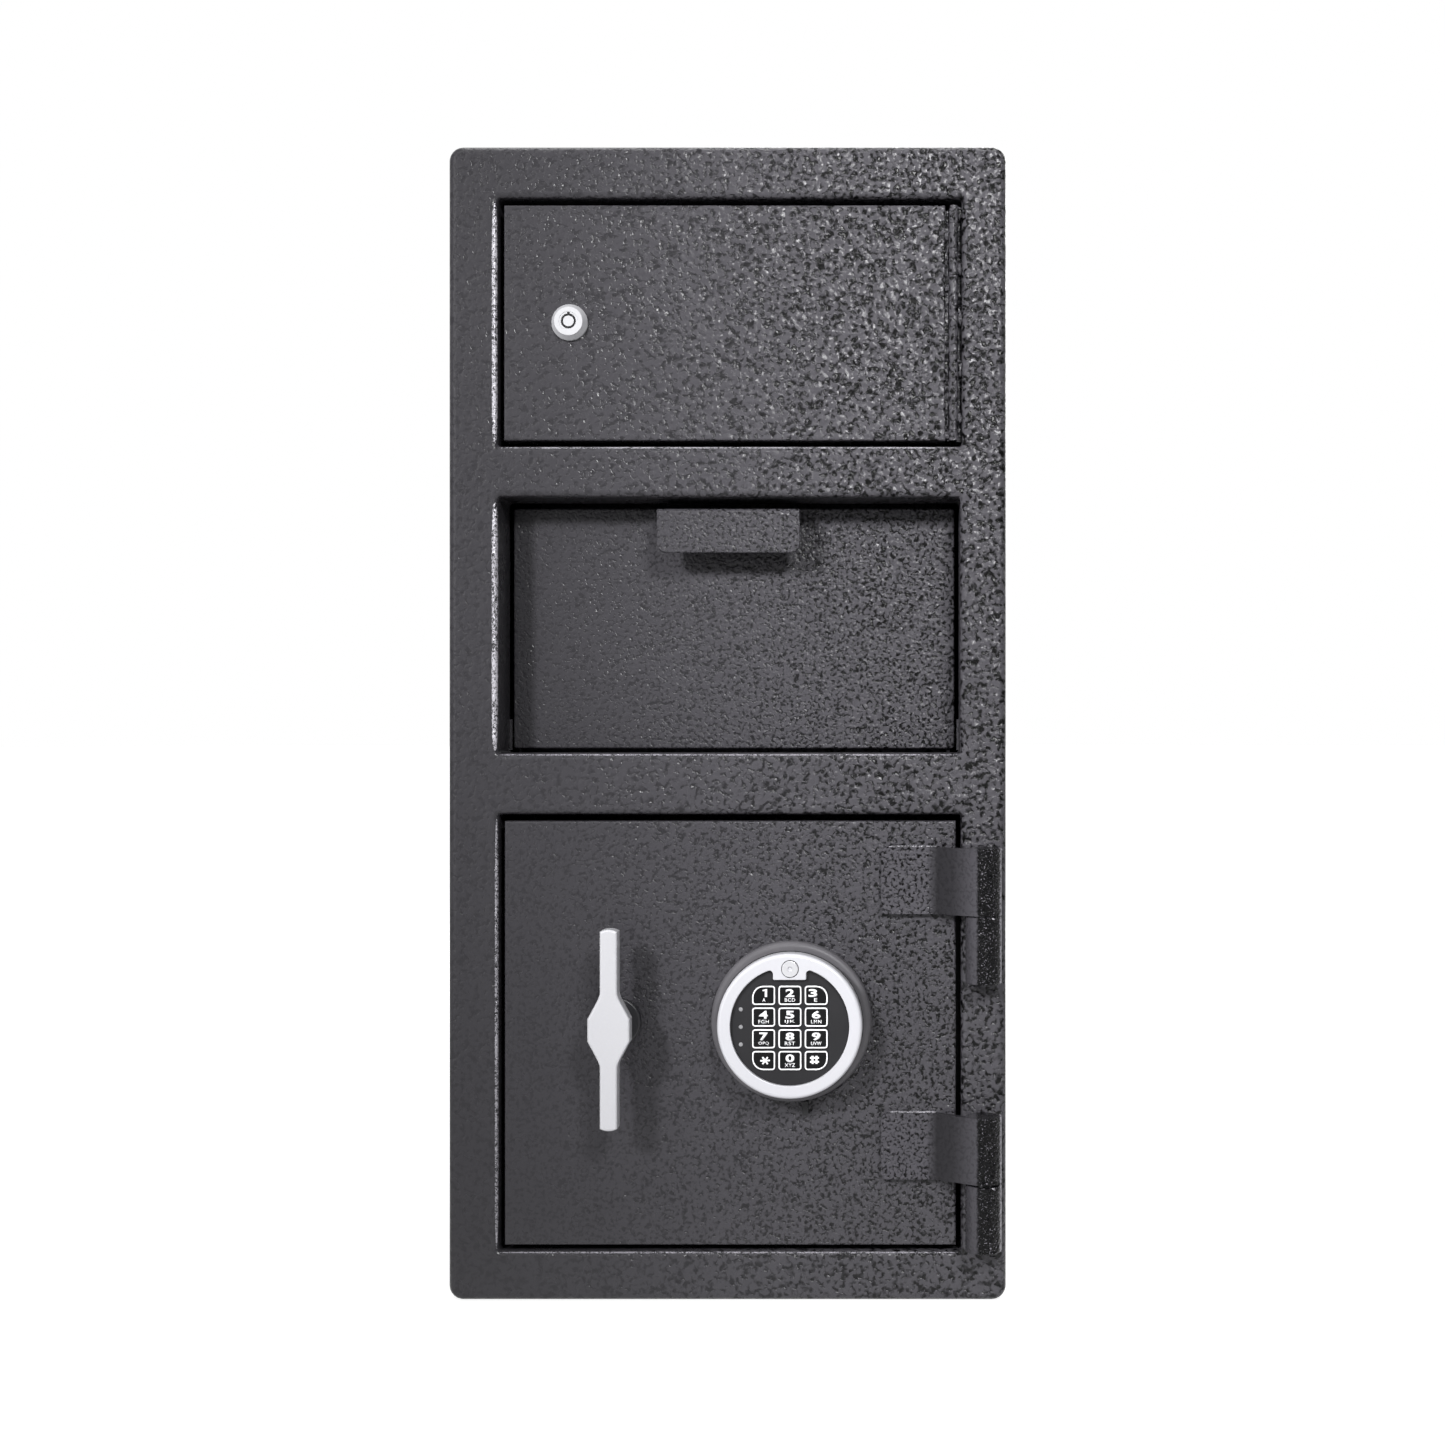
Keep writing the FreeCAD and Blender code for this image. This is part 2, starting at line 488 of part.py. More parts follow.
# Straps: flat leaf on the door, swept outwards to the barrel.
hx0, hy0, hr = D("hg_x"), D("hg_y"), D("hg_rad")
bx, st = D("strap_bend"), D("strap_t")
fy = -half
dx, dy = hx0 - bx, hy0 - (fy - st)
ang = math.atan2(dy, dx) - math.asin(hr / math.hypot(dx, dy))
ux, uy = math.cos(ang), math.sin(ang)
tx, ty = hx0 + hr * uy, hy0 - hr * ux
ix, iy = bx - st * uy, (fy - st) + st * ux
back = (fy - iy) / uy
ix2 = ix + ux * back
outline = [V(D("strap_x0"), fy, 0), V(D("strap_x0"), fy - st, 0), V(bx, fy - st, 0), V(tx, ty, 0), V(hx0, hy0, 0),
           V(ix2 + ux * 22, fy + uy * 22, 0), V(ix2, fy, 0)]
wire = Part.Wire([Part.makeLine(outline[i], outline[(i + 1) % len(outline)]) for i in range(len(outline))])
straps = []
for i, (z0, z1) in enumerate(((247.3, 289.7), (78.7, 120.4))):
    s = doc.addObject("Part::Feature", "StrapLeaf%d" % i)
    s.Shape = Part.Face(wire).extrude(V(0, 0, z1 - z0))
    at(s, 0, 0, z0)
    x0 = D("strap_x0")
    s = fillet("StrapCorners%d" % i, s, 3.5, lambda b, e: along("y")(b, e) and abs(b.XMin - x0) < 0.01)
    s = fillet("StrapBend%d" % i, s, 9.0, lambda b, e: along("z")(b, e) and abs(b.XMin - bx) < 0.01 and abs(b.YMin - (fy - st)) < 0.01)
    br = cyl("StrapBarrel%d" % i, "hg_rad", "hg_x", "hg_y", z0, z1 - z0, "z")
    s = fuse("StrapSet%d" % i, [s, br])
    s = cut("StrapBored%d" % i, s, cyl("StrapBore%d" % i, "hg_bore", "hg_x", "hg_y", z0 - 1, z1 - z0 - 3, "z"))
    straps.append(s)
node("main_hinge_straps", group("Straps", straps))

# Fixed dead bar on the hinge side.
node("dead_bar", fuse("DeadBar", [
    box("DeadBarLeg", "md_x1-8", "md_x1", "-cab_half+md_t", -142, 70, 272),
    box("DeadBarLip", "md_x1-8", "md_x1+9", -152, -142, 70, 272)]))
# Bolt guide: angle with three bolt holes.
gd = fuse("GuideSet", [box("GuideWeb", -137, -132, "-cab_half+md_t", -128, 55, 287),
                       box("GuideFoot", -132, -112, "-cab_half+md_t", "-cab_half+md_t+4", 55, 287)])
node("bolt_guide", cut("Guide", gd, [cyl("GuideHole" + t, "bolt_hole", -140, "bolt_y", "bolt_z" + t, 12, "x") for t in "abc"]))
cov = box("CoverBlock", -130, 136, "-cab_half+md_t", -122, 48, 294)
cvo = box("CoverVoid", -131, 134, "-cab_half+md_t-1", -124, 50, 292)
node("boltwork_cover", cut("Cover", cov, cvo))
scr = []
for i, (x, z) in enumerate(((-122, 55.5), (-122, 286.5), (124, 60), (124, 282))):
    scr.append(fuse("CoverScrew%d" % i, [cyl("CoverScrewShank%d" % i, 2.4, x, "-cab_half+md_t+4" if x < 0 else "-cab_half+md_t", z, 40 if x < 0 else 44, "y"),
                                        cyl("CoverScrewHead%d" % i, 4.2, x, -122, z, 2.4, "y")]))
node("cover_screws", group("CoverScrews", scr))
node("hard_plate", box("HardPlate", 14, 86, "-cab_half+md_t", "-cab_half+md_t+4", 142, 216))
case = box("LockCaseBlock", "lk_x0", "lk_x1", "-cab_half+md_t+4", -131, "lk_z0", "lk_z1")
chan = box("LockCaseChannel", "lk_x0-1", "lk_x0+46", "lb_y0-0.5", "lb_y1+0.5", "lb_z0-0.5", "lb_z1+0.5")
node("lock_case", cut("LockCase", fillet("LockCaseCorners", case, 3.0, along("y")), chan))
node("lock_case_screws", group("LockCaseScrews", [
    cyl("LockCaseScrew%d" % i, 3.4, x, -131, z, 2.6, "y") for i, (x, z) in enumerate(((27, 155), (73, 155), (27, 203), (73, 203)))]))
bush = fuse("BushSet", [cyl("BushBarrel", 9, "th_x", "-cab_half", "th_z", "md_t", "y"),
                        cyl("BushFlange", 13, "th_x", "-cab_half+md_t", "th_z", 2, "y")])
node("spindle_bushing", cut("Bush", bush, cyl("BushBore", "sp_bore", "th_x", "-cab_half-1", "th_z", 20, "y")))

# Keypad: base, silver ring with a tab, dark face, lamps.
bd = body("KeypadBaseBody")
sk = sketch(bd, "KeypadBaseFoot", "XZ_Plane", "cab_half")
circle(sk, "kp_x", "kp_z", "kp_base", (41, 179, 51))
pad(bd, sk, "KeypadBaseDisc", 8, False)
p = bd.Tip
fyb = -half - 8
p = pd_fillet(bd, p, "KeypadBaseRound", 3.5, lambda b, e: on_y(fyb)(b, e))
sk = sketch(bd, "KeypadBaseNeck", "XZ_Plane", "cab_half+8")
circle(sk, "kp_x", "kp_z", "kp_drum", (41, 179, 44))
pad(bd, sk, "KeypadBaseDrum", "-kp_seat-cab_half-8", False)
node("keypad_base", bd)
rg = cyl("RingBlock", "kp_ring", "kp_x", "kp_front", "kp_z", "kp_seat-kp_front", "y")
kf = D("kp_front")
rg = fillet("RingBevel", rg, 2.4, on_y(kf))
# Window through the bezel: the tab hangs into it from the top, with rounded corners.
win = cut("RingWindow", cyl("RingWindowDisc", "kp_in", "kp_x", "kp_front-1", "kp_z", "tab_t+1", "y"),
          box("RingTabBlock", "kp_x-tab_half", "kp_x+tab_half", "kp_front-2", "kp_front+tab_t+1", "kp_z+tab_low", "kp_z+kp_in+5"))
tabz = D("kp_z") + D("tab_low")
win = fillet("RingWindowShoulders", win, D("tab_round"), lambda b, e: along("y")(b, e) and b.ZMin > tabz + 2)
win = fillet("RingWindowCorners", win, 1.0, lambda b, e: along("y")(b, e) and abs(b.ZMin - tabz) < 0.01)
rv = cyl("RingVoid", "kp_in", "kp_x", "kp_front+tab_t", "kp_z", 20, "y")
rg = cut("RingOpen", rg, fuse("RingVoids", [win, rv]))
kr = D("kp_ring") - 2.4
rg = fillet("RingInner", rg, 0.5, lambda b, e: on_y(kf)(b, e) and max(abs(b.XMin - D("kp_x")), abs(b.XMax - D("kp_x"))) < kr - 1)
node("keypad_ring", rg)
cols = [("key_x-key_px", -1), ("key_x", 0), ("key_x+key_px", 1)]
rows = [("key_z+1.5*key_pz", 1), ("key_z+0.5*key_pz", 0), ("key_z-0.5*key_pz", 0), ("key_z-1.5*key_pz", -1)]
labels = ["key_1", "key_2", "key_3", "key_4", "key_5", "key_6", "key_7", "key_8", "key_9", "key_star", "key_0", "key_hash"]
wells = []
for n, label in enumerate(labels):
    cx, sx = cols[n % 3]
    cz, sz = rows[n // 3]
    for kind, grow, y0, y1 in (("Key", "0", "key_front", "key_back"), ("Well", "key_gap", "kp_face-1", "kp_seat+1")):
        o = box("%s_%s" % (kind, label), "%s-key_w/2-%s" % (cx, grow), "%s+key_w/2+%s" % (cx, grow), y0, y1,
                "%s-key_h/2-%s" % (cz, grow), "%s+key_h/2+%s" % (cz, grow))
        doc.recompute()
        bb = o.Shape.BoundBox
        extra = 0.0 if grow == "0" else D("key_gap")

        def is_big(b, e, bb=bb):
            return along("y")(b, e) and sx * sz != 0 and abs(b.XMin - (bb.XMin if sx < 0 else bb.XMax)) < 0.01 and \
                abs(b.ZMin - (bb.ZMax if sz > 0 else bb.ZMin)) < 0.01
        o = fillet("%sRound_%s" % (kind, label), o, D("key_round") + extra, lambda b, e: along("y")(b, e) and not is_big(b, e))
        if sx * sz:
            o = fillet("%sBig_%s" % (kind, label), o, D("key_big") + extra, is_big)
        if kind == "Key":
            kfy = D("key_front")
            o = fillet("KeyTop_%s" % label, o, 0.5, on_y(kfy))
            node(label, o)
        else:
            wells.append(o)
node("keypad_face", cut("Face", cyl("FaceDisc", "kp_in-0.05", "kp_x", "kp_face", "kp_z", "kp_seat-kp_face", "y"), wells))
node("status_leds", group("Leds", [
    fillet("LedRound%d" % i, cyl("Led%d" % i, 1.35, 10.7, "kp_face-0.7", z, 0.7, "y"), 0.5, on_y(D("kp_face") - 0.7))
    for i, z in enumerate((189.4, 178.4, 167.4))]))
rs = cyl("RingScrewHead", 5.1, 41.6, "kp_front-0.9", 215.0, 0.9, "y")
rs = fillet("RingScrewRound", rs, 0.5, on_y(kf - 0.9))
hs = doc.addObject("Part::Prism", "RingScrewHex")
hs.Polygon = 6
hs.Circumradius = 1.7
hs.Height = 1.2
at(hs, 41.6, "kp_front-1.2", 215.0, TO_Y)
node("ring_screw", cut("RingScrew", rs, hs))
node("battery_tab", fillet("BatteryTabRound", box("BatteryTab", 48.4, 52.0, -184, -178.0, 119.6, 128.3), 0.6, along("y")))

# ============================================================ bolt carriage
bar = fuse("BarSet", [
    box("BarFlat", "bolt_base", "bolt_base+5", "bolt_y-10", "bolt_y+10", 64, 278),
    box("BarPlate", "bolt_base+5", 17.4, -140, -136, 152, 200)])
slot = box("BarSlot", "th_x+pin_off-slot_half", "th_x+pin_off+slot_half", -141, -135, 159.5, 173.5)
slot = fillet("BarSlotEnds", slot, 3.5, along("y"))
node("bolt_bar", cut("Bar", bar, slot))
bolts = []
for t in "abc":
    c = cyl("Bolt" + t, "bolt_rad", "bolt_tip", "bolt_y", "bolt_z" + t, "bolt_base-bolt_tip", "x")
    tip = D("bolt_tip")
    bolts.append(fillet("BoltNose" + t, c, 2.0, lambda b, e: b.XLength < 1e-4 and abs(b.XMin - tip) < 1e-4, "Part::Chamfer"))
node("locking_bolts", group("Bolts", bolts))
node("bolt_screws", group("BoltScrews", [cyl("BoltScrew" + t, 3.8, "bolt_base+5", "bolt_y", "bolt_z" + t, 3, "x") for t in "abc"]))

# =================================================================== handle
bd = body("TeeHandleBody")
sk = sketch(bd, "TeeOutline", "XZ_Plane", "-th_front-th_t")
cx, cz = D("th_x"), D("th_z")
aw, hw, hl = D("th_arm"), D("th_hub"), D("th_half")
qx = [(aw, hl), (aw, 22.5), (aw + 1.1, 19.2), (hw - 0.6, 8.0), (hw, 7.0)]
right_up = [(x, z) for x, z in qx]
loop = right_up + [(x, -z) for x, z in reversed(right_up)] + [(-x, -z) for x, z in right_up] + [(-x, z) for x, z in reversed(right_up)]
count = len(loop)
for i in range(count):
    p0, p1 = loop[i], loop[(i + 1) % count]
    a3, b3 = V(cx + p0[0], cz + p0[1], 0), V(cx + p1[0], cz + p1[1], 0)
    if abs(p0[1] - p1[1]) < 1e-6 and abs(p0[1]) == hl:
        # domed end of an arm
        mid = V(cx, cz + p0[1] + math.copysign(1.4, p0[1]), 0)
        sk.addGeometry(Part.Arc(a3, mid, b3), False)
    else:
        sk.addGeometry(Part.LineSegment(a3, b3), False)
for i in range(count):
    j = (i + 1) % count
    # arcs keep their own direction, so the touching ends are found by distance
    best = min(((sk.getPoint(i, a_) - sk.getPoint(j, b_)).Length, a_, b_) for a_ in (1, 2) for b_ in (1, 2))
    sk.addConstraint(Sketcher.Constraint("Coincident", i, best[1], j, best[2]))
p = pad(bd, sk, "TeePad", "th_t", False)
tf = D("th_front")
p = pd_fillet(bd, p, "TeeRound", 1.6, on_y(tf))
sk = sketch(bd, "TeeNeckOutline", "XZ_Plane", "-th_front-th_t")
circle(sk, "th_x", "th_z", 10, (-70, 178, 10))
pad(bd, sk, "TeeNeck", "-(th_front+th_t)-cab_half-0.4", True)
sk = sketch(bd, "TeeRoseOutline", "XZ_Plane", "cab_half+0.4")
circle(sk, "th_x", "th_z", 15.5, (-70, 178, 15))
p = pad(bd, sk, "TeeRose", 4, False)
fy2 = -half - 4.4
p = pd_fillet(bd, p, "TeeRoseRound", 1.5, lambda b, e: on_y(fy2)(b, e) and b.XLength > 28)
sk = sketch(bd, "TeeBoreOutline", "XZ_Plane", "cab_half+0.4")
circle(sk, "th_x", "th_z", "sp_rad", (-70, 178, 6))
pocket(bd, sk, "TeeBore", 20, False)
node("tee_handle", bd)
node("handle_spindle", cyl("Spindle", "sp_rad", "th_x", "-cab_half-20.4", "th_z", 56.4, "y"))
crank = fuse("CrankSet", [
    cyl("CrankHub", 11, "th_x", -150, "th_z", 8, "y"),
    cyl("CrankEnd", 6.5, "th_x+pin_off", -146, "th_z-pin_off", 4, "y"),
    cyl("CrankPin", "pin_rad", "th_x+pin_off", -143, "th_z-pin_off", 9, "y"),
    ])
cb = doc.addObject("Part::Box", "CrankWeb")
bind(cb, "Length", "pin_off*1.4142")
cb.Width = 4
cb.Height = 12
cb.Placement = FreeCAD.Placement(V(0, 0, 0), ROT(V(0, 1, 0), 45))
bind(cb, "Placement.Base.x", "th_x-6*0.70711")
bind(cb, "Placement.Base.y", -146)
bind(cb, "Placement.Base.z", "th_z-6*0.70711")
crank2 = fuse("CrankAll", [crank, cb])
node("crank_arm", cut("Crank", crank2, cyl("CrankBore", "sp_rad", "th_x", -151, "th_z", 9, "y")))
node("spindle_clip", cut("Clip", cyl("ClipDisc", 9.5, "th_x", "-cab_half+md_t+2.5", "th_z", 1.5, "y"),
                         cyl("ClipBore", "sp_rad", "th_x", "-cab_half+md_t+2", "th_z", 3, "y")))

# ================================================================ lock bolt
node("lock_bolt", fillet("LockBoltEdge", box("LockBolt", "lk_x0-2", "lk_x0+44", "lb_y0", "lb_y1", "lb_z0", "lb_z1"), 1.2, along("x")))

# ------------------------------------------------------------ check and write
doc.recompute()
bad = [o.Name for o in doc.Objects if "Invalid" in o.State or "Error" in o.State]
if bad:
    raise SystemExit("failed objects: " + ", ".join(bad))
for name, obj in NODES.items():
    s = obj.Shape
    if s.isNull() or not s.isValid() or not s.Solids:
        raise SystemExit("bad shape: " + name)
os.makedirs("parts", exist_ok=True)
for name, obj in NODES.items():
    obj.Shape.exportStep(os.path.join("parts", name + ".step"))
print(len(NODES), "parts written")
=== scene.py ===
import json
import math
import random

import bmesh
import bpy
from mathutils import Matrix, Vector

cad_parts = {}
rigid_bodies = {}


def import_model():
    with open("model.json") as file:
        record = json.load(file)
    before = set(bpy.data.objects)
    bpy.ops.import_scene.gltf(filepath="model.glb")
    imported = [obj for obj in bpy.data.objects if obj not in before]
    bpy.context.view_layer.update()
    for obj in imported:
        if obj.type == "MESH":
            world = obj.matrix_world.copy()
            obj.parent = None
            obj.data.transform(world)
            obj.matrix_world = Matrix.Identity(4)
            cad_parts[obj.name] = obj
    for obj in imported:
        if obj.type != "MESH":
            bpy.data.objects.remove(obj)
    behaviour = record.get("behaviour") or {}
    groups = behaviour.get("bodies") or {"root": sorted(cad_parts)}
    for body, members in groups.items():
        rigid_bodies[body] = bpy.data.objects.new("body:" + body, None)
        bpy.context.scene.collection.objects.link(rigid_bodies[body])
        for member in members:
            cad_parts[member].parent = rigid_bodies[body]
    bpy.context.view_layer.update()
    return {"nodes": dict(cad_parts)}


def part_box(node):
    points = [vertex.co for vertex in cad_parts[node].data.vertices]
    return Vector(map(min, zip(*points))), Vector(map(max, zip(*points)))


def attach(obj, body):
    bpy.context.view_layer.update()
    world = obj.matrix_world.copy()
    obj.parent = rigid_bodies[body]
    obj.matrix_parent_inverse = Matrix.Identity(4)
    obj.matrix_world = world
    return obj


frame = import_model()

NODES = frame["nodes"]
MM = 0.001
scene = bpy.context.scene
rng = random.Random(41)


# ------------------------------------------------------------------ node helpers
class Tree:
    """Small helper that adds shader nodes and links them."""

    def __init__(self, tree):
        self.t = tree
        self.n = tree.nodes
        self.l = tree.links

    def add(self, kind, **kw):
        node = self.n.new(kind)
        for k, v in kw.items():
            if k.startswith("in_"):
                node.inputs[k[3:]].default_value = v
            else:
                setattr(node, k, v)
        return node

    def link(self, a, b):
        self.l.new(a, b)


def new_material(name):
    m = bpy.data.materials.new(name)
    m.use_nodes = True
    t = Tree(m.node_tree)
    bsdf = next(n for n in t.n if n.type == "BSDF_PRINCIPLED")
    return m, t, bsdf


def coords(t, scale=(1, 1, 1)):
    tc = t.add("ShaderNodeTexCoord")
    mp = t.add("ShaderNodeMapping")
    mp.inputs["Scale"].default_value = scale
    t.link(tc.outputs["Object"], mp.inputs["Vector"])
    return mp.outputs["Vector"]


def ramp(t, fac, stops, interp="LINEAR"):
    r = t.add("ShaderNodeValToRGB")
    r.color_ramp.interpolation = interp
    els = r.color_ramp.elements
    while len(els) > 1:
        els.remove(els[0])
    els[0].position, els[0].color = stops[0][0], (*stops[0][1], 1)
    for p, c in stops[1:]:
        e = els.new(p)
        e.color = (*c, 1)
    t.link(fac, r.inputs["Fac"])
    return r.outputs["Color"]


def grey(v):
    return (v, v, v)


def noise_tex(t, vec, scale, detail=2.0, rough=0.5, dist=0.0):
    n = t.add("ShaderNodeTexNoise")
    n.inputs["Scale"].default_value = scale
    n.inputs["Detail"].default_value = detail
    n.inputs["Roughness"].default_value = rough
    n.inputs["Distortion"].default_value = dist
    t.link(vec, n.inputs["Vector"])
    return n.outputs["Fac"]


def math_node(t, op, a, b=None, clamp=False):
    m = t.add("ShaderNodeMath", operation=op, use_clamp=clamp)
    for i, v in enumerate((a, b)):
        if v is None:
            continue
        if isinstance(v, (int, float)):
            m.inputs[i].default_value = v
        else:
            t.link(v, m.inputs[i])
    return m.outputs[0]


def bump(t, height, strength, distance, normal=None):
    b = t.add("ShaderNodeBump")
    b.inputs["Strength"].default_value = strength
    b.inputs["Distance"].default_value = distance
    t.link(height, b.inputs["Height"])
    if normal is not None:
        t.link(normal, b.inputs["Normal"])
    return b.outputs["Normal"]


# ------------------------------------------------------------------ materials
def hammer_paint(name, dark, light, depth=0.00068, scale=330.0, rough=(0.24, 0.32), spec=0.40, smooth_painted_light_zone=None):
    """Charcoal hammertone powder coat: glossy, with plateaus and pits 2 to 4 mm across.

    smooth_painted_light_zone: (x0, x1) in the node's own coordinates: flat strap at x0, over the bend and round the
    barrel to x1, where the coat is drawn thin and smooth, with painted light on it: painted shade on the bend, then
    deep painted shade with a few painted glints on the outer side of the barrel, and a painted highlight along its rim.
    """
    m, t, b = new_material(name)
    v = coords(t)
    warp = noise_tex(t, v, scale * 0.42, 1.0, 0.5, 0.0)
    big = noise_tex(t, v, scale, 1.2, 0.42, 0.45)
    vor = t.add("ShaderNodeTexVoronoi", feature="SMOOTH_F1")
    vor.inputs["Scale"].default_value = scale * 0.9
    vor.inputs["Smoothness"].default_value = 0.75
    vor.inputs["Randomness"].default_value = 1.0
    t.link(v, vor.inputs["Vector"])
    mr = t.add("ShaderNodeMapRange", interpolation_type="SMOOTHSTEP")
    mr.inputs["From Min"].default_value = 0.30
    mr.inputs["From Max"].default_value = 0.56
    t.link(big, mr.inputs["Value"])
    fine = noise_tex(t, v, scale * 4.0, 2.0, 0.5)
    pebble = math_node(t, "MULTIPLY", vor.outputs["Distance"], -0.75)
    h = math_node(t, "ADD", math_node(t, "MULTIPLY", mr.outputs["Result"], 0.55), pebble)
    h = math_node(t, "ADD", h, math_node(t, "MULTIPLY", warp, 0.7))
    h = math_node(t, "ADD", h, math_node(t, "MULTIPLY", fine, 0.07))
    sep = t.add("ShaderNodeSeparateXYZ")
    t.link(v, sep.inputs[0])

    def drift(axis, a0, a1, lo, hi):
        """Slow change across the cabinet, along one axis: of the coat's relief, and as painted light on its colour."""
        n = t.add("ShaderNodeMapRange", interpolation_type="SMOOTHSTEP")
        n.inputs["From Min"].default_value, n.inputs["From Max"].default_value = a0, a1
        n.inputs["To Min"].default_value, n.inputs["To Max"].default_value = lo, hi
        t.link(sep.outputs[axis], n.inputs["Value"])
        return n.outputs["Result"]

    h = math_node(t, "MULTIPLY", h, math_node(t, "MULTIPLY", drift("X", -0.178, 0.14, 0.42, 1.65), drift("Z", -0.1, 0.75, 0.82, 1.08)))
    # painted shade in the pits of the coat, deeper towards the right and the top
    pit_painted_shade = math_node(t, "SUBTRACT", 1.0, mr.outputs["Result"])
    pit_painted_shade = math_node(t, "MULTIPLY", pit_painted_shade, math_node(t, "MULTIPLY", drift("X", -0.168, 0.14, 0.12, 1.25), drift("Z", 0.0, 0.70, 0.80, 1.0)))
    zone_painted_light = None
    if smooth_painted_light_zone:
        x0, x1 = smooth_painted_light_zone
        rag = noise_tex(t, v, 620.0, 2.0, 0.6)
        xr = math_node(t, "ADD", sep.outputs["X"], math_node(t, "MULTIPLY", math_node(t, "SUBTRACT", rag, 0.5), 0.0034))
        zx = t.add("ShaderNodeMapRange")
        zx.inputs["From Min"].default_value, zx.inputs["From Max"].default_value = x0, x1
        t.link(xr, zx.inputs["Value"])
        along = zx.outputs["Result"]
        relief = ramp(t, along, [(0.13, grey(1.0)), (0.24, grey(0.30)), (0.68, grey(0.36)), (0.715, grey(1.5)), (1.0, grey(1.5))])
        h = math_node(t, "MULTIPLY", h, relief)
        # painted light round the hinge: shade on the bend, a lit band on the near side of the barrel, deep shade with
        # painted glints on its outer side, and a painted rim highlight
        painted_light_tone = ramp(t, along, [(0.12, grey(1.0)), (0.24, grey(0.27)), (0.42, grey(0.33)), (0.66, grey(0.80)), (0.68, grey(0.80)),
                               (0.705, grey(0.05)), (0.940, grey(0.05)), (0.958, grey(1.0))])
        painted_shade_side = ramp(t, along, [(0.69, grey(0.0)), (0.72, grey(1.0)), (0.93, grey(1.0)), (0.96, grey(0.0))])
        painted_glint = ramp(t, noise_tex(t, v, 980.0, 1.0, 0.5, 0.3), [(0.63, grey(0.0)), (0.70, grey(1.0))])
        painted_rim_highlight = ramp(t, along, [(0.945, grey(0.0)), (0.962, grey(1.0))])
        zone_painted_light = math_node(t, "ADD", painted_light_tone, math_node(t, "MULTIPLY", math_node(t, "MULTIPLY", painted_shade_side, painted_glint), 2.6))
        zone_painted_light = math_node(t, "ADD", zone_painted_light, math_node(t, "MULTIPLY", painted_rim_highlight, 4.0))
    t.link(bump(t, h, 1.0, depth), b.inputs["Normal"])
    cloud = noise_tex(t, v, 9.0, 3.0, 0.6)
    mix = math_node(t, "ADD", math_node(t, "MULTIPLY", cloud, 0.55), math_node(t, "MULTIPLY", mr.outputs["Result"], 0.4), True)
    col = ramp(t, mix, [(0.15, dark), (0.85, light)])
    if zone_painted_light is not None:
        pit_painted_shade = math_node(t, "MULTIPLY", pit_painted_shade, ramp(t, along, [(0.13, grey(1.0)), (0.23, grey(0.12)), (0.68, grey(0.12)), (0.72, grey(0.7))]))
    painted_light_factor = math_node(t, "SUBTRACT", 1.0, math_node(t, "MULTIPLY", pit_painted_shade, 0.95), True)
    if zone_painted_light is not None:
        painted_light_factor = math_node(t, "MULTIPLY", painted_light_factor, zone_painted_light)
    scale_col = t.add("ShaderNodeVectorMath", operation="SCALE")
    t.link(col, scale_col.inputs[0])
    # painted light: the coat's colour darker towards the left of the cabinet and lighter towards the right
    t.link(math_node(t, "MULTIPLY", painted_light_factor, drift("X", -0.18, 0.09, 0.70, 1.20)), scale_col.inputs["Scale"])
    t.link(scale_col.outputs["Vector"], b.inputs["Base Color"])
    rr = t.add("ShaderNodeMapRange")
    rr.inputs["To Min"].default_value = rough[0]
    rr.inputs["To Max"].default_value = rough[1]
    t.link(noise_tex(t, v, 40.0, 3.0, 0.55), rr.inputs["Value"])
    t.link(rr.outputs["Result"], b.inputs["Roughness"])
    b.inputs["Specular IOR Level"].default_value = spec
    b.inputs["Coat Weight"].default_value = 0.0
    return m


def metal(name, col, rough, streak=(60, 60, 60), depth=0.00001, var=0.04, metallic=1.0):
    m, t, b = new_material(name)
    v = coords(t, streak)
    n1 = noise_tex(t, v, 12.0, 4.0, 0.6)
    c0 = tuple(max(0.0, c - var) for c in col)
    t.link(ramp(t, n1, [(0.3, c0), (0.7, col)]), b.inputs["Base Color"])
    b.inputs["Metallic"].default_value = metallic
    rr = t.add("ShaderNodeMapRange")
    rr.inputs["To Min"].default_value = rough[0]
    rr.inputs["To Max"].default_value = rough[1]
    t.link(n1, rr.inputs["Value"])
    t.link(rr.outputs["Result"], b.inputs["Roughness"])
    t.link(bump(t, n1, 0.5, depth), b.inputs["Normal"])
    return m


def plated_tee(name, col, rough, y_split):
    """Satin plate on the tee, dark base colour on the neck behind it, split at one depth."""
    m, t, b = new_material(name)
    v = coords(t)
    n1 = noise_tex(t, v, 700.0, 3.0, 0.6)
    c0 = tuple(c - 0.02 for c in col)
    plate = ramp(t, n1, [(0.3, c0), (0.7, col)])
    sep = t.add("ShaderNodeSeparateXYZ")
    t.link(v, sep.inputs[0])
    mask = t.add("ShaderNodeMapRange")
    mask.inputs["From Min"].default_value = y_split - 0.0001
    mask.inputs["From Max"].default_value = y_split + 0.0001
    t.link(sep.outputs["Y"], mask.inputs["Value"])
    mixc = t.add("ShaderNodeMix", data_type="RGBA")
    t.link(mask.outputs["Result"], mixc.inputs["Factor"])
    t.link(plate, mixc.inputs["A"])
    mixc.inputs["B"].default_value = (0.022, 0.022, 0.025, 1)
    t.link(mixc.outputs["Result"], b.inputs["Base Color"])
    t.link(math_node(t, "MULTIPLY", math_node(t, "SUBTRACT", 1.0, mask.outputs["Result"]), 0.38), b.inputs["Metallic"])
    rr = t.add("ShaderNodeMapRange")
    rr.inputs["To Min"].default_value = rough[0]
    rr.inputs["To Max"].default_value = rough[1]
    t.link(n1, rr.inputs["Value"])
    t.link(rr.outputs["Result"], b.inputs["Roughness"])
    t.link(bump(t, n1, 0.4, 0.000004), b.inputs["Normal"])
    return m


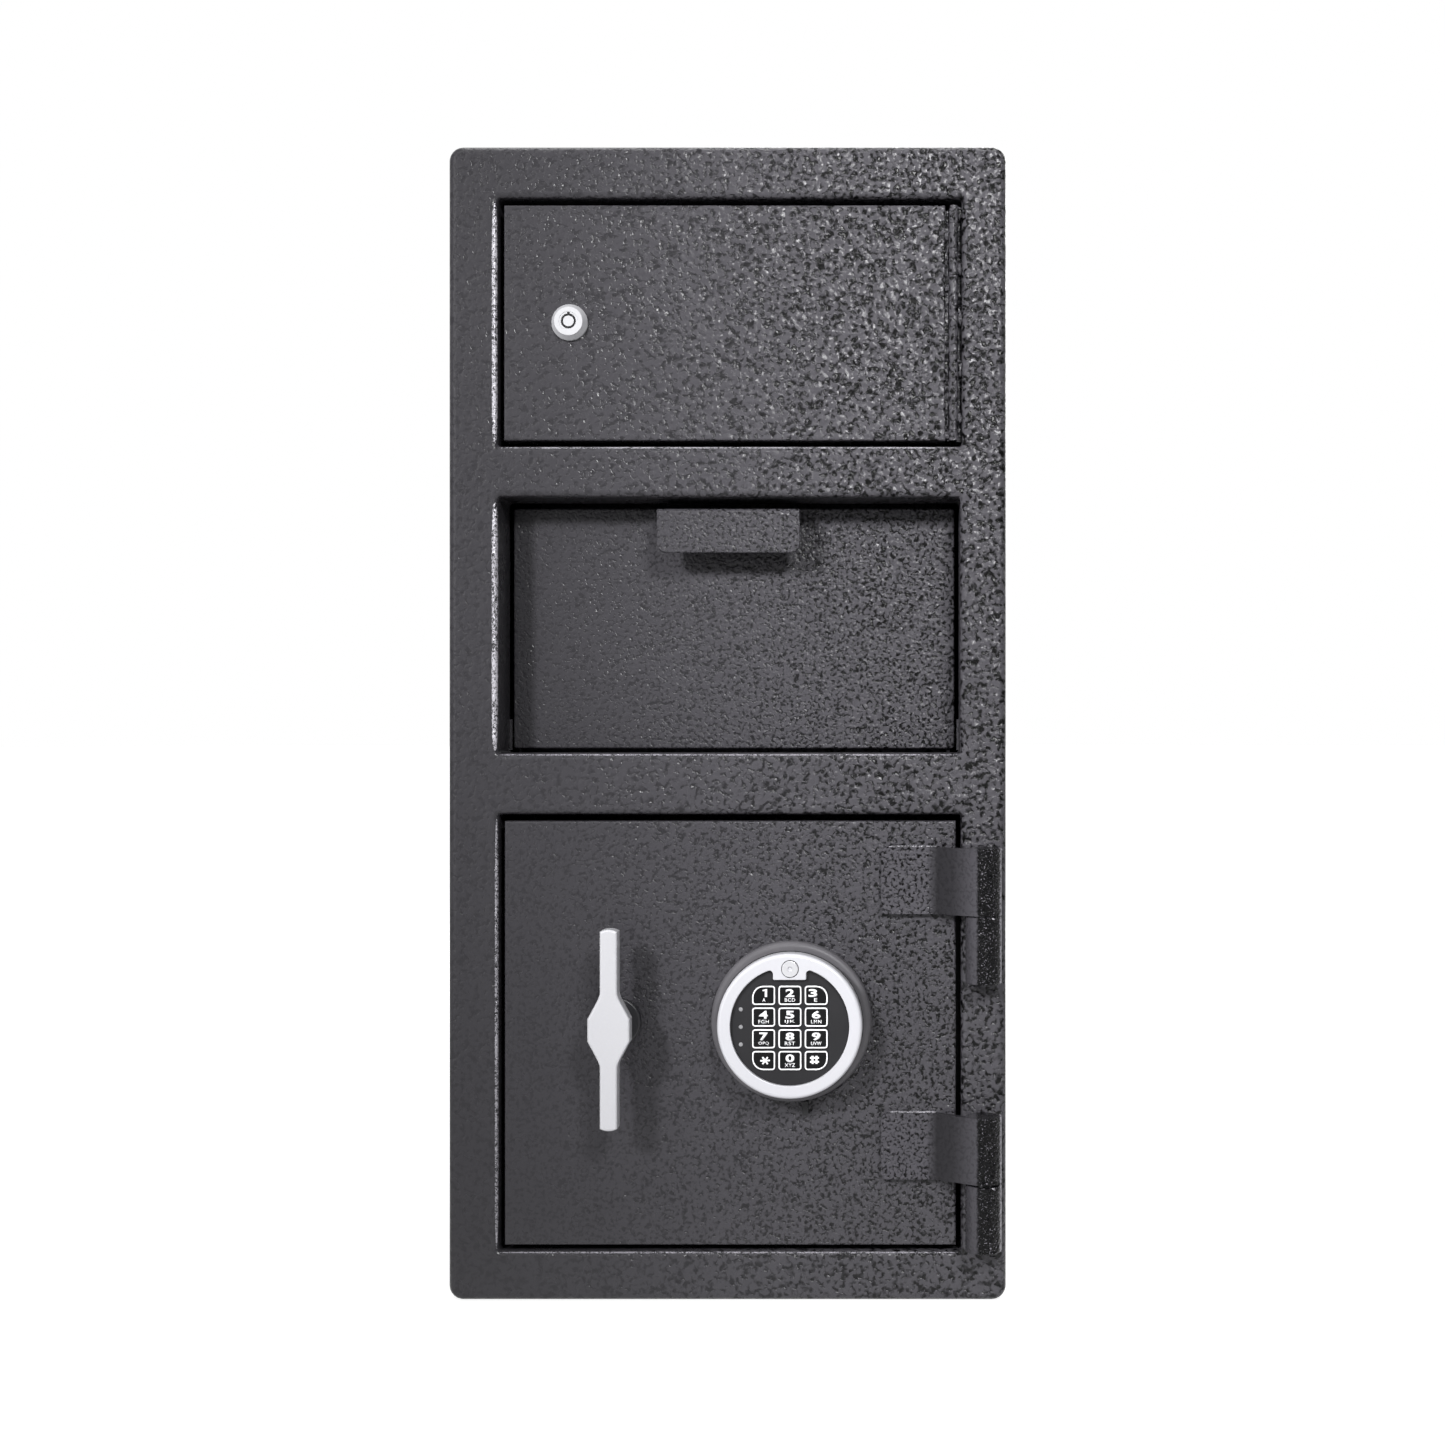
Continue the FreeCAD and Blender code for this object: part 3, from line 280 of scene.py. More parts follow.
def plastic(name, dark, light, rough=(0.35, 0.5), grain=1800.0, depth=0.00004, spec=0.5):
    m, t, b = new_material(name)
    v = coords(t)
    n1 = noise_tex(t, v, grain, 2.0, 0.6)
    n2 = noise_tex(t, v, 30.0, 3.0, 0.6)
    t.link(ramp(t, n2, [(0.3, dark), (0.7, light)]), b.inputs["Base Color"])
    rr = t.add("ShaderNodeMapRange")
    rr.inputs["To Min"].default_value = rough[0]
    rr.inputs["To Max"].default_value = rough[1]
    t.link(n2, rr.inputs["Value"])
    t.link(rr.outputs["Result"], b.inputs["Roughness"])
    t.link(bump(t, n1, 0.6, depth), b.inputs["Normal"])
    b.inputs["Specular IOR Level"].default_value = spec
    return m


PAINT = hammer_paint("paint_hammertone", (0.0360, 0.0345, 0.0395), (0.0500, 0.0480, 0.0545))
PAINT_DOOR = hammer_paint("paint_hammertone_fine", (0.0350, 0.0335, 0.0385), (0.0480, 0.0460, 0.0525), depth=0.00046, scale=470.0)
# hinge coat: a lighter base colour than the door's paint, as painted light on the straps, plus the painted shade and
# highlight of its zone
PAINT_HINGE = hammer_paint("paint_hammertone_hinge", (0.0415, 0.0398, 0.0455), (0.0570, 0.0546, 0.0624), depth=0.00046, scale=470.0,
                           rough=(0.22, 0.29), spec=0.22, smooth_painted_light_zone=(0.120, 0.176))
PAINT_BEAD = hammer_paint("paint_weld_bead", (0.0380, 0.0365, 0.0415), (0.0520, 0.0500, 0.0565), depth=0.00016, scale=420.0)
PAINT_IN = hammer_paint("paint_inner", (0.032, 0.031, 0.035), (0.044, 0.0425, 0.048), depth=0.0003, rough=(0.38, 0.48), spec=0.35)
PAINT_DARK = plastic("inner_dark_coat", (0.010, 0.010, 0.011), (0.016, 0.016, 0.018), (0.45, 0.6), 900.0, 0.00004, 0.3)
CHROME = plated_tee("satin_chrome_plate", (0.645, 0.645, 0.675), (0.34, 0.40), -0.2058)
LOCK_CHROME = metal("lock_chrome_plate", (0.74, 0.74, 0.77), (0.18, 0.26), var=0.02, depth=0.000004, metallic=0.5)
BOLT_CHROME = metal("bolt_chrome_plate", (0.80, 0.80, 0.82), (0.10, 0.18), var=0.02, depth=0.000004)
SILVER = metal("keypad_silver", (0.60, 0.60, 0.635), (0.34, 0.42), var=0.015, depth=0.000006, metallic=0.22)
STEEL = metal("zinc_steel", (0.58, 0.58, 0.60), (0.28, 0.42), var=0.07, depth=0.00002)
BRASS = metal("turned_brass", (0.72, 0.54, 0.24), (0.22, 0.34), var=0.06)
BASE_PLASTIC = plastic("keypad_base_plastic", (0.088, 0.085, 0.093), (0.106, 0.102, 0.111), (0.42, 0.52), 900.0, 0.00005)
FACE_PLASTIC = plastic("keypad_face_plastic", (0.0150, 0.0148, 0.0166), (0.0192, 0.0188, 0.0208), (0.38, 0.48), 2600.0, 0.00002, 0.4)
KEY_PLASTIC = plastic("key_plastic", (0.004, 0.004, 0.0045), (0.006, 0.006, 0.0065), (0.40, 0.5), 2600.0, 0.00002, 0.2)
LEGEND = plastic("key_legend_white", (0.84, 0.84, 0.87), (0.92, 0.92, 0.94), (0.4, 0.5), 2600.0, 0.00001)
LAMP = plastic("lamp_lens", (0.20, 0.20, 0.21), (0.27, 0.27, 0.28), (0.12, 0.2), 2600.0, 0.00001)
BLACK_PLASTIC = plastic("black_plastic", (0.010, 0.010, 0.011), (0.016, 0.016, 0.018), (0.3, 0.45), 1400.0, 0.00003)

BY_NODE = {
    PAINT: ["front_frame", "body_wrap", "back_panel", "locker_hinge_frame_leaf", "locker_door_panel",
            "locker_hinge_door_leaf"],
    PAINT_DOOR: ["hopper_panel", "hopper_pull", "main_door_plate"],
    PAINT_HINGE: ["main_hinge_straps", "main_hinge_frame_knuckles"],
    PAINT_IN: ["locker_floor", "chute_floor", "hopper_baffle", "hopper_pivot_lugs", "hopper_cheeks", "hopper_tray",
               "boltwork_cover"],
    PAINT_DARK: ["dead_bar", "hopper_pivot_pins", "locker_hinge_pin"],
    CHROME: ["tee_handle"],
    LOCK_CHROME: ["cam_lock_housing", "cam_lock_plug", "ring_screw"],
    BOLT_CHROME: ["locking_bolts"],
    STEEL: ["main_hinge_pins", "cam_lock_nut", "cam_arm", "cam_screw", "bolt_guide", "cover_screws",
            "lock_case_screws", "hard_plate", "bolt_bar", "bolt_screws", "handle_spindle", "crank_arm",
            "spindle_clip", "lock_bolt", "lock_case"],
    BRASS: ["spindle_bushing"],
    BASE_PLASTIC: ["keypad_base"],
    SILVER: ["keypad_ring"],
    FACE_PLASTIC: ["keypad_face"],
    LAMP: ["status_leds"],
    BLACK_PLASTIC: ["battery_tab"],
    KEY_PLASTIC: [n for n in NODES if n.startswith("key_")],
}
for mat, names in BY_NODE.items():
    for name in names:
        o = NODES[name]
        o.data.materials.clear()
        o.data.materials.append(mat)


# ------------------------------------------------------------------ mesh helpers
def mesh_object(name, bm, mat, body, smooth=True):
    me = bpy.data.meshes.new(name)
    bm.normal_update()
    bm.to_mesh(me)
    bm.free()
    o = bpy.data.objects.new(name, me)
    scene.collection.objects.link(o)
    me.materials.append(mat)
    if smooth:
        for p in me.polygons:
            p.use_smooth = True
    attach(o, body)
    return o


def rounded_outline(w, h, radii, steps=7):
    """Corner points of a rounded rectangle, counter-clockwise from the top right; radii tr, tl, bl, br."""
    pts = []
    for (sx, sz), r, a0 in (((1, 1), radii[0], 0), ((-1, 1), radii[1], 90), ((-1, -1), radii[2], 180), ((1, -1), radii[3], 270)):
        cx, cz = sx * (w / 2 - r), sz * (h / 2 - r)
        for i in range(steps + 1):
            a = math.radians(a0 + 90.0 * i / steps)
            pts.append((cx + r * math.cos(a), cz + r * math.sin(a)))
    return pts


def frame_ring(bm, cx, cz, outer, inner, y_front, y_back, soft):
    """Raised band between two outlines, with softened front edges."""
    n = len(outer)
    rings = []
    mid = [((o[0] * 0.8 + i[0] * 0.2), (o[1] * 0.8 + i[1] * 0.2)) for o, i in zip(outer, inner)]
    mid2 = [((o[0] * 0.2 + i[0] * 0.8), (o[1] * 0.2 + i[1] * 0.8)) for o, i in zip(outer, inner)]
    for pts, y in ((outer, y_back), (outer, y_front + soft), (mid, y_front), (mid2, y_front), (inner, y_front + soft), (inner, y_back)):
        rings.append([bm.verts.new((cx + x, y, cz + z)) for x, z in pts])
    for a, b in zip(rings, rings[1:]):
        for i in range(n):
            j = (i + 1) % n
            bm.faces.new((a[i], a[j], b[j], b[i]))
    a, b = rings[-1], rings[0]
    for i in range(n):
        j = (i + 1) % n
        bm.faces.new((a[i], a[j], b[j], b[i]))


def text_piece(name, body_text, x, z, y_front, height, mat, body, width=None, thick=0.00018, bold=0.0, squeeze=1.0, spread=1.0):
    cu = bpy.data.curves.new(name, "FONT")
    cu.body = body_text
    cu.size = 1.0
    cu.align_x = "CENTER"
    cu.align_y = "CENTER"
    cu.offset = bold
    cu.space_character = spread
    cu.resolution_u = 4
    tmp = bpy.data.objects.new(name + "_tmp", cu)
    scene.collection.objects.link(tmp)
    bpy.context.view_layer.update()
    me = bpy.data.meshes.new_from_object(tmp.evaluated_get(bpy.context.evaluated_depsgraph_get()))
    bpy.data.objects.remove(tmp)
    bpy.data.curves.remove(cu)
    xs = [v.co.x for v in me.vertices]
    ys = [v.co.y for v in me.vertices]
    w0, h0 = max(xs) - min(xs), max(ys) - min(ys)
    cx0, cy0 = (max(xs) + min(xs)) / 2, (max(ys) + min(ys)) / 2
    sy = height / h0
    sx = (width / w0) if width else sy * squeeze
    bm = bmesh.new()
    bm.from_mesh(me)
    bpy.data.meshes.remove(me)
    bmesh.ops.remove_doubles(bm, verts=bm.verts, dist=1e-5)
    for v in bm.verts:
        v.co = Vector((x + (v.co.x - cx0) * sx, y_front, z + (v.co.y - cy0) * sy))
    faces = bm.faces[:]
    ext = bmesh.ops.extrude_face_region(bm, geom=faces)
    moved = [g for g in ext["geom"] if isinstance(g, bmesh.types.BMVert)]
    for v in moved:
        v.co.y += thick
    bmesh.ops.recalc_face_normals(bm, faces=bm.faces)
    return mesh_object(name, bm, mat, body, smooth=False)


# ------------------------------------------------------------------ keypad legends
def bar_piece(name, strokes, cx, cz, y_front, mat, body, thick=0.0002):
    """Flat strokes as thin prisms; each stroke is (x0, z0, x1, z1, width) in mm about the centre."""
    bm = bmesh.new()
    for k, (x0, z0, x1, z1, w) in enumerate(strokes):
        d = Vector((x1 - x0, 0, z1 - z0))
        n = Vector((-d.z, 0, d.x)).normalized() * (w / 2)
        corners = [Vector((x0, 0, z0)) + n, Vector((x1, 0, z1)) + n, Vector((x1, 0, z1)) - n, Vector((x0, 0, z0)) - n]
        y = y_front - 0.00002 * k
        f = [bm.verts.new((cx + c.x * MM, y, cz + c.z * MM)) for c in corners]
        r = [bm.verts.new((cx + c.x * MM, y_front + thick, cz + c.z * MM)) for c in corners]
        bm.faces.new(f)
        bm.faces.new(list(reversed(r)))
        for i in range(4):
            j = (i + 1) % 4
            bm.faces.new((f[i], r[i], r[j], f[j]))
    bmesh.ops.recalc_face_normals(bm, faces=bm.faces)
    return mesh_object(name, bm, mat, body, smooth=False)


LETTERS = {"key_1": "A", "key_2": "BCD", "key_3": "E", "key_4": "FGH", "key_5": "IJK", "key_6": "LMN", "key_7": "OPQ",
           "key_8": "RST", "key_9": "UVW", "key_0": "XYZ"}
SHIFT = {"key_1": 1.1, "key_3": -2.1, "key_4": -0.1, "key_star": 0.9, "key_hash": -1.1}
ORDER = ["key_1", "key_2", "key_3", "key_4", "key_5", "key_6", "key_7", "key_8", "key_9", "key_star", "key_0", "key_hash"]
BIG = {"key_1": 1, "key_3": 0, "key_star": 2, "key_hash": 3}
for key in ORDER:
    a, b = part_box(key)
    cx, cz = (a.x + b.x) / 2, (a.z + b.z) / 2
    w, h = b.x - a.x, b.z - a.z
    yf = a.y
    radii = [1.9 * MM] * 4
    if key in BIG:
        radii[BIG[key]] = 7.0 * MM
    wo, ho = w - 0.05 * MM, h - 0.05 * MM
    line = 0.86 * MM
    outer = rounded_outline(wo, ho, radii)
    inner = rounded_outline(wo - 2 * line, ho - 2 * line, [max(r - line, 0.4 * MM) for r in radii])
    bm = bmesh.new()
    frame_ring(bm, cx, cz, outer, inner, yf - 0.16 * MM, yf + 0.5 * MM, 0.10 * MM)
    bmesh.ops.recalc_face_normals(bm, faces=bm.faces)
    mesh_object(key + "_outline", bm, LEGEND, key)
    dx = SHIFT.get(key, 0.0) * MM
    zd = cz + 1.45 * MM
    if key == "key_1":
        bar_piece("key_1_digit", [(0.35, -2.45, 0.35, 2.45, 1.45), (-1.75, 1.55, 0.7, 2.0, 0.85)], cx + dx, zd, yf - 0.10 * MM, LEGEND, key)
    elif key in LETTERS:
        text_piece(key + "_digit", key[-1], cx + dx, zd, yf - 0.10 * MM, 5.0 * MM, LEGEND, key, width=5.5 * MM, bold=0.034)
    if key in LETTERS:
        letters = LETTERS[key]
        text_piece(key + "_letters", letters, cx + dx * 0.15, cz - 2.85 * MM, yf - 0.08 * MM, 2.25 * MM, LEGEND, key,
                   width=(2.0 if len(letters) == 1 else 6.5) * MM, bold=0.010, spread=1.12)
    elif key == "key_star":
        arms = [(-3.0 * math.cos(q), -2.6 * math.sin(q), 3.0 * math.cos(q), 2.6 * math.sin(q), 1.0)
                for q in (math.radians(t) for t in (2, 57, 123))]
        bar_piece("key_star_sign", arms, cx + dx, cz, yf - 0.10 * MM, LEGEND, key)
    else:
        bar_piece("key_hash_sign", [(-1.25, -2.5, -1.25, 2.5, 1.25), (1.25, -2.5, 1.25, 2.5, 1.25),
                                    (-2.8, 1.25, 2.8, 1.25, 1.1), (-2.8, -1.25, 2.8, -1.25, 1.1)],
                  cx + dx, cz + 0.5 * MM, yf - 0.10 * MM, LEGEND, key)


def annulus(name, cx, cz, r0, r1, y_front, y_back, mat, body, segments=64):
    bm = bmesh.new()
    rows = []
    for r, y in ((r0, y_back), (r0, y_front), (r1, y_front), (r1, y_back)):
        rows.append([bm.verts.new((cx + r * math.cos(2 * math.pi * k / segments), y, cz + r * math.sin(2 * math.pi * k / segments)))
                     for k in range(segments)])
    for a, b in zip(rows, rows[1:] + rows[:1]):
        for k in range(segments):
            j = (k + 1) % segments
            bm.faces.new((a[k], a[j], b[j], b[k]))
    bmesh.ops.recalc_face_normals(bm, faces=bm.faces)
    return mesh_object(name, bm, mat, body, smooth=False)


# black inside the round keyway, below the face of the plug
annulus("keyway_shadow", -0.1003, 0.624, 3.45 * MM, 4.75 * MM, -0.1833, -0.1779, BLACK_PLASTIC, "cam_lock")
# painted shadow round the screw that holds the bezel: a thin black ring laid on the bezel, seen as a thin dark circle
annulus("ring_screw_painted_shadow", 0.0416, 0.215, 4.75 * MM, 5.55 * MM, -0.20406, -0.2036, BLACK_PLASTIC, "main_door")
# parting line between the bezel and the plastic base
annulus("keypad_parting_line", 0.0413, 0.179, 45.3 * MM, 46.0 * MM, -0.1926, -0.1915, BLACK_PLASTIC, "main_door", 128)


# ------------------------------------------------------------------ weld beads
def weld_bead(name, body, start, end, radius, normal, wave=0.22, pieces=None):
    """A lumpy ridge of weld metal from start to end, flattened against a surface."""
    s, e, nrm = Vector(start), Vector(end), Vector(normal).normalized()
    d = e - s
    length = d.length
    d.normalize()
    side = d.cross(nrm).normalized()
    steps = max(8, int(length / (radius * 0.28)))
    around = 14
    bm = bmesh.new()
    rings = []
    for i in range(steps + 1):
        f = i / steps
        cap = math.sqrt(max(0.0, 1 - (2 * f - 1) ** 8))
        ripple = 1 + wave * math.sin(f * length / (radius * 1.5) * 2 * math.pi + rng.random() * 0.6) * 0.5 + rng.uniform(-0.06, 0.06)
        r = radius * ripple * max(cap, 0.12)
        c = s + d * (length * f) + side * rng.uniform(-0.05, 0.05) * radius
        rings.append([bm.verts.new(c + nrm * (r * 0.75 * math.cos(a)) + side * (r * math.sin(a)))
                      for a in (2 * math.pi * k / around for k in range(around))])
    for a, b in zip(rings, rings[1:]):
        for k in range(around):
            j = (k + 1) % around
            bm.faces.new((a[k], a[j], b[j], b[k]))
    bm.faces.new(list(reversed(rings[0])))
    bm.faces.new(rings[-1])
    bmesh.ops.recalc_face_normals(bm, faces=bm.faces)
    o = mesh_object(name, bm, PAINT_BEAD, body)
    sub = o.modifiers.new("smooth", "SUBSURF")
    sub.levels = sub.render_levels = 1
    return o


def weld_blob(name, body, centre, size, tilt=0.0, mat=None, x_max=None):
    """A rounded lump of weld: squashed sphere with uneven ripples; size is the half extents in mm."""
    bm = bmesh.new()
    bmesh.ops.create_uvsphere(bm, u_segments=28, v_segments=18, radius=1.0)
    ph = [rng.uniform(0, 6.28) for _ in range(4)]
    c, sn = math.cos(tilt), math.sin(tilt)
    for v in bm.verts:
        x, y, z = v.co
        k = 1 + 0.10 * math.sin(5.2 * x + ph[0]) * math.sin(4.1 * z + ph[1]) + 0.06 * math.sin(9.0 * x + ph[2]) + 0.05 * math.sin(8.0 * z + ph[3])
        px, py, pz = x * size[0] * k * MM, y * size[1] * k * MM, z * size[2] * k * MM
        x_new = centre[0] * MM + px * c - pz * sn
        if x_max is not None:
            # the lump ends inside its knuckle, short of the pin
            x_new = min(x_new, x_max * MM)
        v.co = Vector((x_new, centre[1] * MM + py, centre[2] * MM + px * sn + pz * c))
    return mesh_object(name, bm, mat or PAINT_BEAD, body)


# welds from the locker door across to its knuckles, one short lump at each door knuckle
for i, (zc, x, hx, hz) in enumerate(((680.3, 140.0, 3.1, 3.0), (646.3, 140.4, 2.5, 2.3), (614.2, 139.6, 3.6, 3.4),
                                    (583.4, 140.2, 2.8, 3.0), (552.4, 140.2, 2.7, 2.3))):
    weld_blob("hinge_weld_door_%d" % i, "locker_door", (x, -175.2, zc), (hx, 2.1, hz), rng.uniform(-0.25, 0.25), x_max=142.7)
    weld_blob("hinge_weld_door_tip_%d" % i, "locker_door", (x - hx * 0.25, -176.3, zc + hz * 0.62), (hx * 0.62, 1.2, 0.9), rng.uniform(-0.2, 0.2))
# welds from the frame to its knuckles, filling the slot beside them
for i, (z1, z0) in enumerate(((698.4, 690.5), (665, 655.2), (632.5, 623.0), (600.8, 590.0), (566.5, 560.0))):
    zc, hz = (z1 + z0) / 2, (z1 - z0) / 2
    weld_blob("hinge_weld_frame_%d" % i, "cabinet", (148.6, -174.6, zc), (1.9, 2.6, hz))
    weld_blob("hinge_weld_frame_tip_%d" % i, "cabinet", (148.0, -176.6, z1 - 1.2), (1.7, 1.0, 1.0), -0.3)
# thin weld seams along the hinge straps; the upper edges carry the most metal
for i, (z0, z1) in enumerate(((247.3, 289.7), (78.7, 120.4))):
    weld_bead("strap_weld_top_%d" % i, "main_door", (0.1030, -0.1779, z1 * MM), (0.134, -0.1779, z1 * MM), 1.15 * MM, (0, -0.6, 1), 0.16)
    weld_bead("strap_weld_end_%d" % i, "main_door", (0.0985, -0.1779, (z0 + 5) * MM), (0.0985, -0.1779, (z1 - 5) * MM), 0.8 * MM, (-1, -0.5, 0), 0.12)
    weld_bead("strap_weld_low_%d" % i, "main_door", (0.1040, -0.1779, z0 * MM), (0.133, -0.1779, z0 * MM), 0.7 * MM, (0, -0.6, -1), 0.12)
# fillet welds beside the lower knuckles, hidden behind the barrels
for i, (z0, z1) in enumerate(((204.1, 246.6), (35.2, 77.3))):
    for side in (-1, 1):
        weld_bead("knuckle_weld_%d_%s" % (i, "l" if side < 0 else "r"), "cabinet",
                  (0.1631 + side * 7.4 * MM, -0.1783, (z0 + 3) * MM), (0.1631 + side * 7.4 * MM, -0.1783, (z1 - 3) * MM), 1.7 * MM, (side, -0.6, 0))
# weld ridge on the top edge of each lower knuckle, made bright with painted highlight
for i, z in enumerate((246.6, 77.3)):
    weld_bead("knuckle_top_ridge_%d" % i, "cabinet", (0.1600, -0.2003, (z - 0.8) * MM), (0.1700, -0.1995, (z - 0.8) * MM), 0.6 * MM, (0, -1, 0.3), 0.25)

# ------------------------------------------------------------------ coat build-up on the opening lips, coloured as painted highlight
def glint_paint(name, low, high, scale=620.0, depth=0.00035):
    """Thick hammertone build-up on an edge, coloured as painted highlight: dark coat broken by bright flecks of painted
    glint.
    """
    m, t, b = new_material(name)
    v = coords(t)
    n1 = noise_tex(t, v, scale, 2.0, 0.5, 1.4)
    n2 = noise_tex(t, v, 34.0, 2.0, 0.5)
    f = math_node(t, "ADD", n1, math_node(t, "MULTIPLY", math_node(t, "SUBTRACT", n2, 0.5), 0.35))
    t.link(ramp(t, f, [(0.39, low), (0.46, tuple((x + y) * 0.40 for x, y in zip(low, high))), (0.54, high)]), b.inputs["Base Color"])
    b.inputs["Metallic"].default_value = 0.25
    b.inputs["Roughness"].default_value = 0.3
    t.link(bump(t, n1, 1.0, depth), b.inputs["Normal"])
    return m


LIP_GLINT_HIGH = glint_paint("lip_painted_highlight_bright", (0.020, 0.0195, 0.022), (0.50, 0.487, 0.53))
LIP_GLINT_MID = glint_paint("lip_painted_highlight_medium", (0.024, 0.0235, 0.026), (0.30, 0.292, 0.32))
LIP_GLINT_LOW = glint_paint("lip_painted_highlight_soft", (0.035, 0.034, 0.038), (0.26, 0.25, 0.28))
# lip beads on the left and lower edges of each opening, in painted highlight
for i, (x0, x1, z0, z1, mat, low_mat) in enumerate(((-146.6, 149.8, 545.4, 703.6, LIP_GLINT_HIGH, LIP_GLINT_MID),
                                                    (-146.3, 148.8, 349.4, 513.0, LIP_GLINT_HIGH, LIP_GLINT_LOW),
                                                    (-146.0, 149.2, 31.7, 310.3, LIP_GLINT_MID, LIP_GLINT_LOW))):
    lip = (2.1, 2.3, 1.40)[i]
    o = weld_bead("lip_left_%d" % i, "cabinet", ((x0 - lip * 0.93) * MM, -0.1766, (z0 - 1.0) * MM), ((x0 - lip * 0.93) * MM, -0.1766, (z1 - 0.5) * MM),
                  lip * MM, (0.7, -0.7, 0), 0.05)
    o.data.materials[0] = mat
    o = weld_bead("lip_low_%d" % i, "cabinet", ((x0 - 0.5) * MM, -0.1768, (z0 - 1.1) * MM), ((x1 - 2) * MM, -0.1768, (z0 - 1.1) * MM),
                  0.72 * MM, (0, -0.7, 0.7), 0.06)
    o.data.materials[0] = low_mat

# painted highlight on the knuckle ridges; a medium painted highlight on the upper strap seams
for i in (0, 1):
    bpy.data.objects["knuckle_top_ridge_%d" % i].data.materials[0] = LIP_GLINT_HIGH
    bpy.data.objects["strap_weld_top_%d" % i].data.materials[0] = LIP_GLINT_MID

# ------------------------------------------------------------------ camera
cam_data = bpy.data.cameras.new("photo_camera")
cam = bpy.data.objects.new("photo_camera", cam_data)
scene.collection.objects.link(cam)
scene.camera = cam
cam.location = (0.1113, -0.178 - 1.25, 0.3690)
cam.rotation_euler = (math.radians(90), 0, 0)
cam_data.sensor_width = 36.0
cam_data.lens = 48.82
cam_data.shift_x = -0.1239
cam_data.clip_start, cam_data.clip_end = 0.05, 100

# ------------------------------------------------------------------ floor and light
bm = bmesh.new()
bmesh.ops.create_circle(bm, cap_ends=True, segments=96, radius=30.0)
me = bpy.data.meshes.new("floor")
bm.to_mesh(me)
bm.free()
floor = bpy.data.objects.new("floor", me)
floor.location = (0, 0, -0.0006)
scene.collection.objects.link(floor)
fm, ft, fb = new_material("pale_floor")
fb.inputs["Base Color"].default_value = (0.34, 0.34, 0.34, 1)
fb.inputs["Roughness"].default_value = 0.8
fb.inputs["Specular IOR Level"].default_value = 0.1
fb.inputs["Emission Color"].default_value = (1, 1, 1, 1)
fv = coords(ft)
flat = ft.add("ShaderNodeVectorMath", operation="MULTIPLY")
flat.inputs[1].default_value = (1, 1, 0)
ft.link(fv, flat.inputs[0])
dist = ft.add("ShaderNodeVectorMath", operation="LENGTH")
ft.link(flat.outputs["Vector"], dist.inputs[0])
glow = ft.add("ShaderNodeMapRange", interpolation_type="SMOOTHSTEP")
glow.inputs["From Min"].default_value = 0.35
glow.inputs["From Max"].default_value = 1.5
glow.inputs["To Min"].default_value = 0.84
glow.inputs["To Max"].default_value = 1.00
ft.link(dist.outputs["Value"], glow.inputs["Value"])
fl = ft.add("ShaderNodeLightPath")
near = ft.add("ShaderNodeMapRange", interpolation_type="SMOOTHSTEP")
near.inputs["From Min"].default_value, near.inputs["From Max"].default_value = 0.22, 0.62
near.inputs["To Min"].default_value, near.inputs["To Max"].default_value = 0.55, 0.12
ft.link(dist.outputs["Value"], near.inputs["Value"])
seen = math_node(ft, "MAXIMUM", fl.outputs["Is Camera Ray"], near.outputs["Result"])
ft.link(math_node(ft, "MULTIPLY", glow.outputs["Result"], seen), fb.inputs["Emission Strength"])
me.materials.append(fm)


def area(name, loc, target, size, power, size_y=None, color=(1, 1, 1)):
    ld = bpy.data.lights.new(name, "AREA")
    ld.energy = power
    ld.size = size
    ld.color = color
    if size_y:
        ld.shape = "RECTANGLE"
        ld.size_y = size_y
    o = bpy.data.objects.new(name, ld)
    o.location = loc
    o.rotation_euler = (Vector(target) - Vector(loc)).to_track_quat("-Z", "Y").to_euler()
    scene.collection.objects.link(o)
    return o


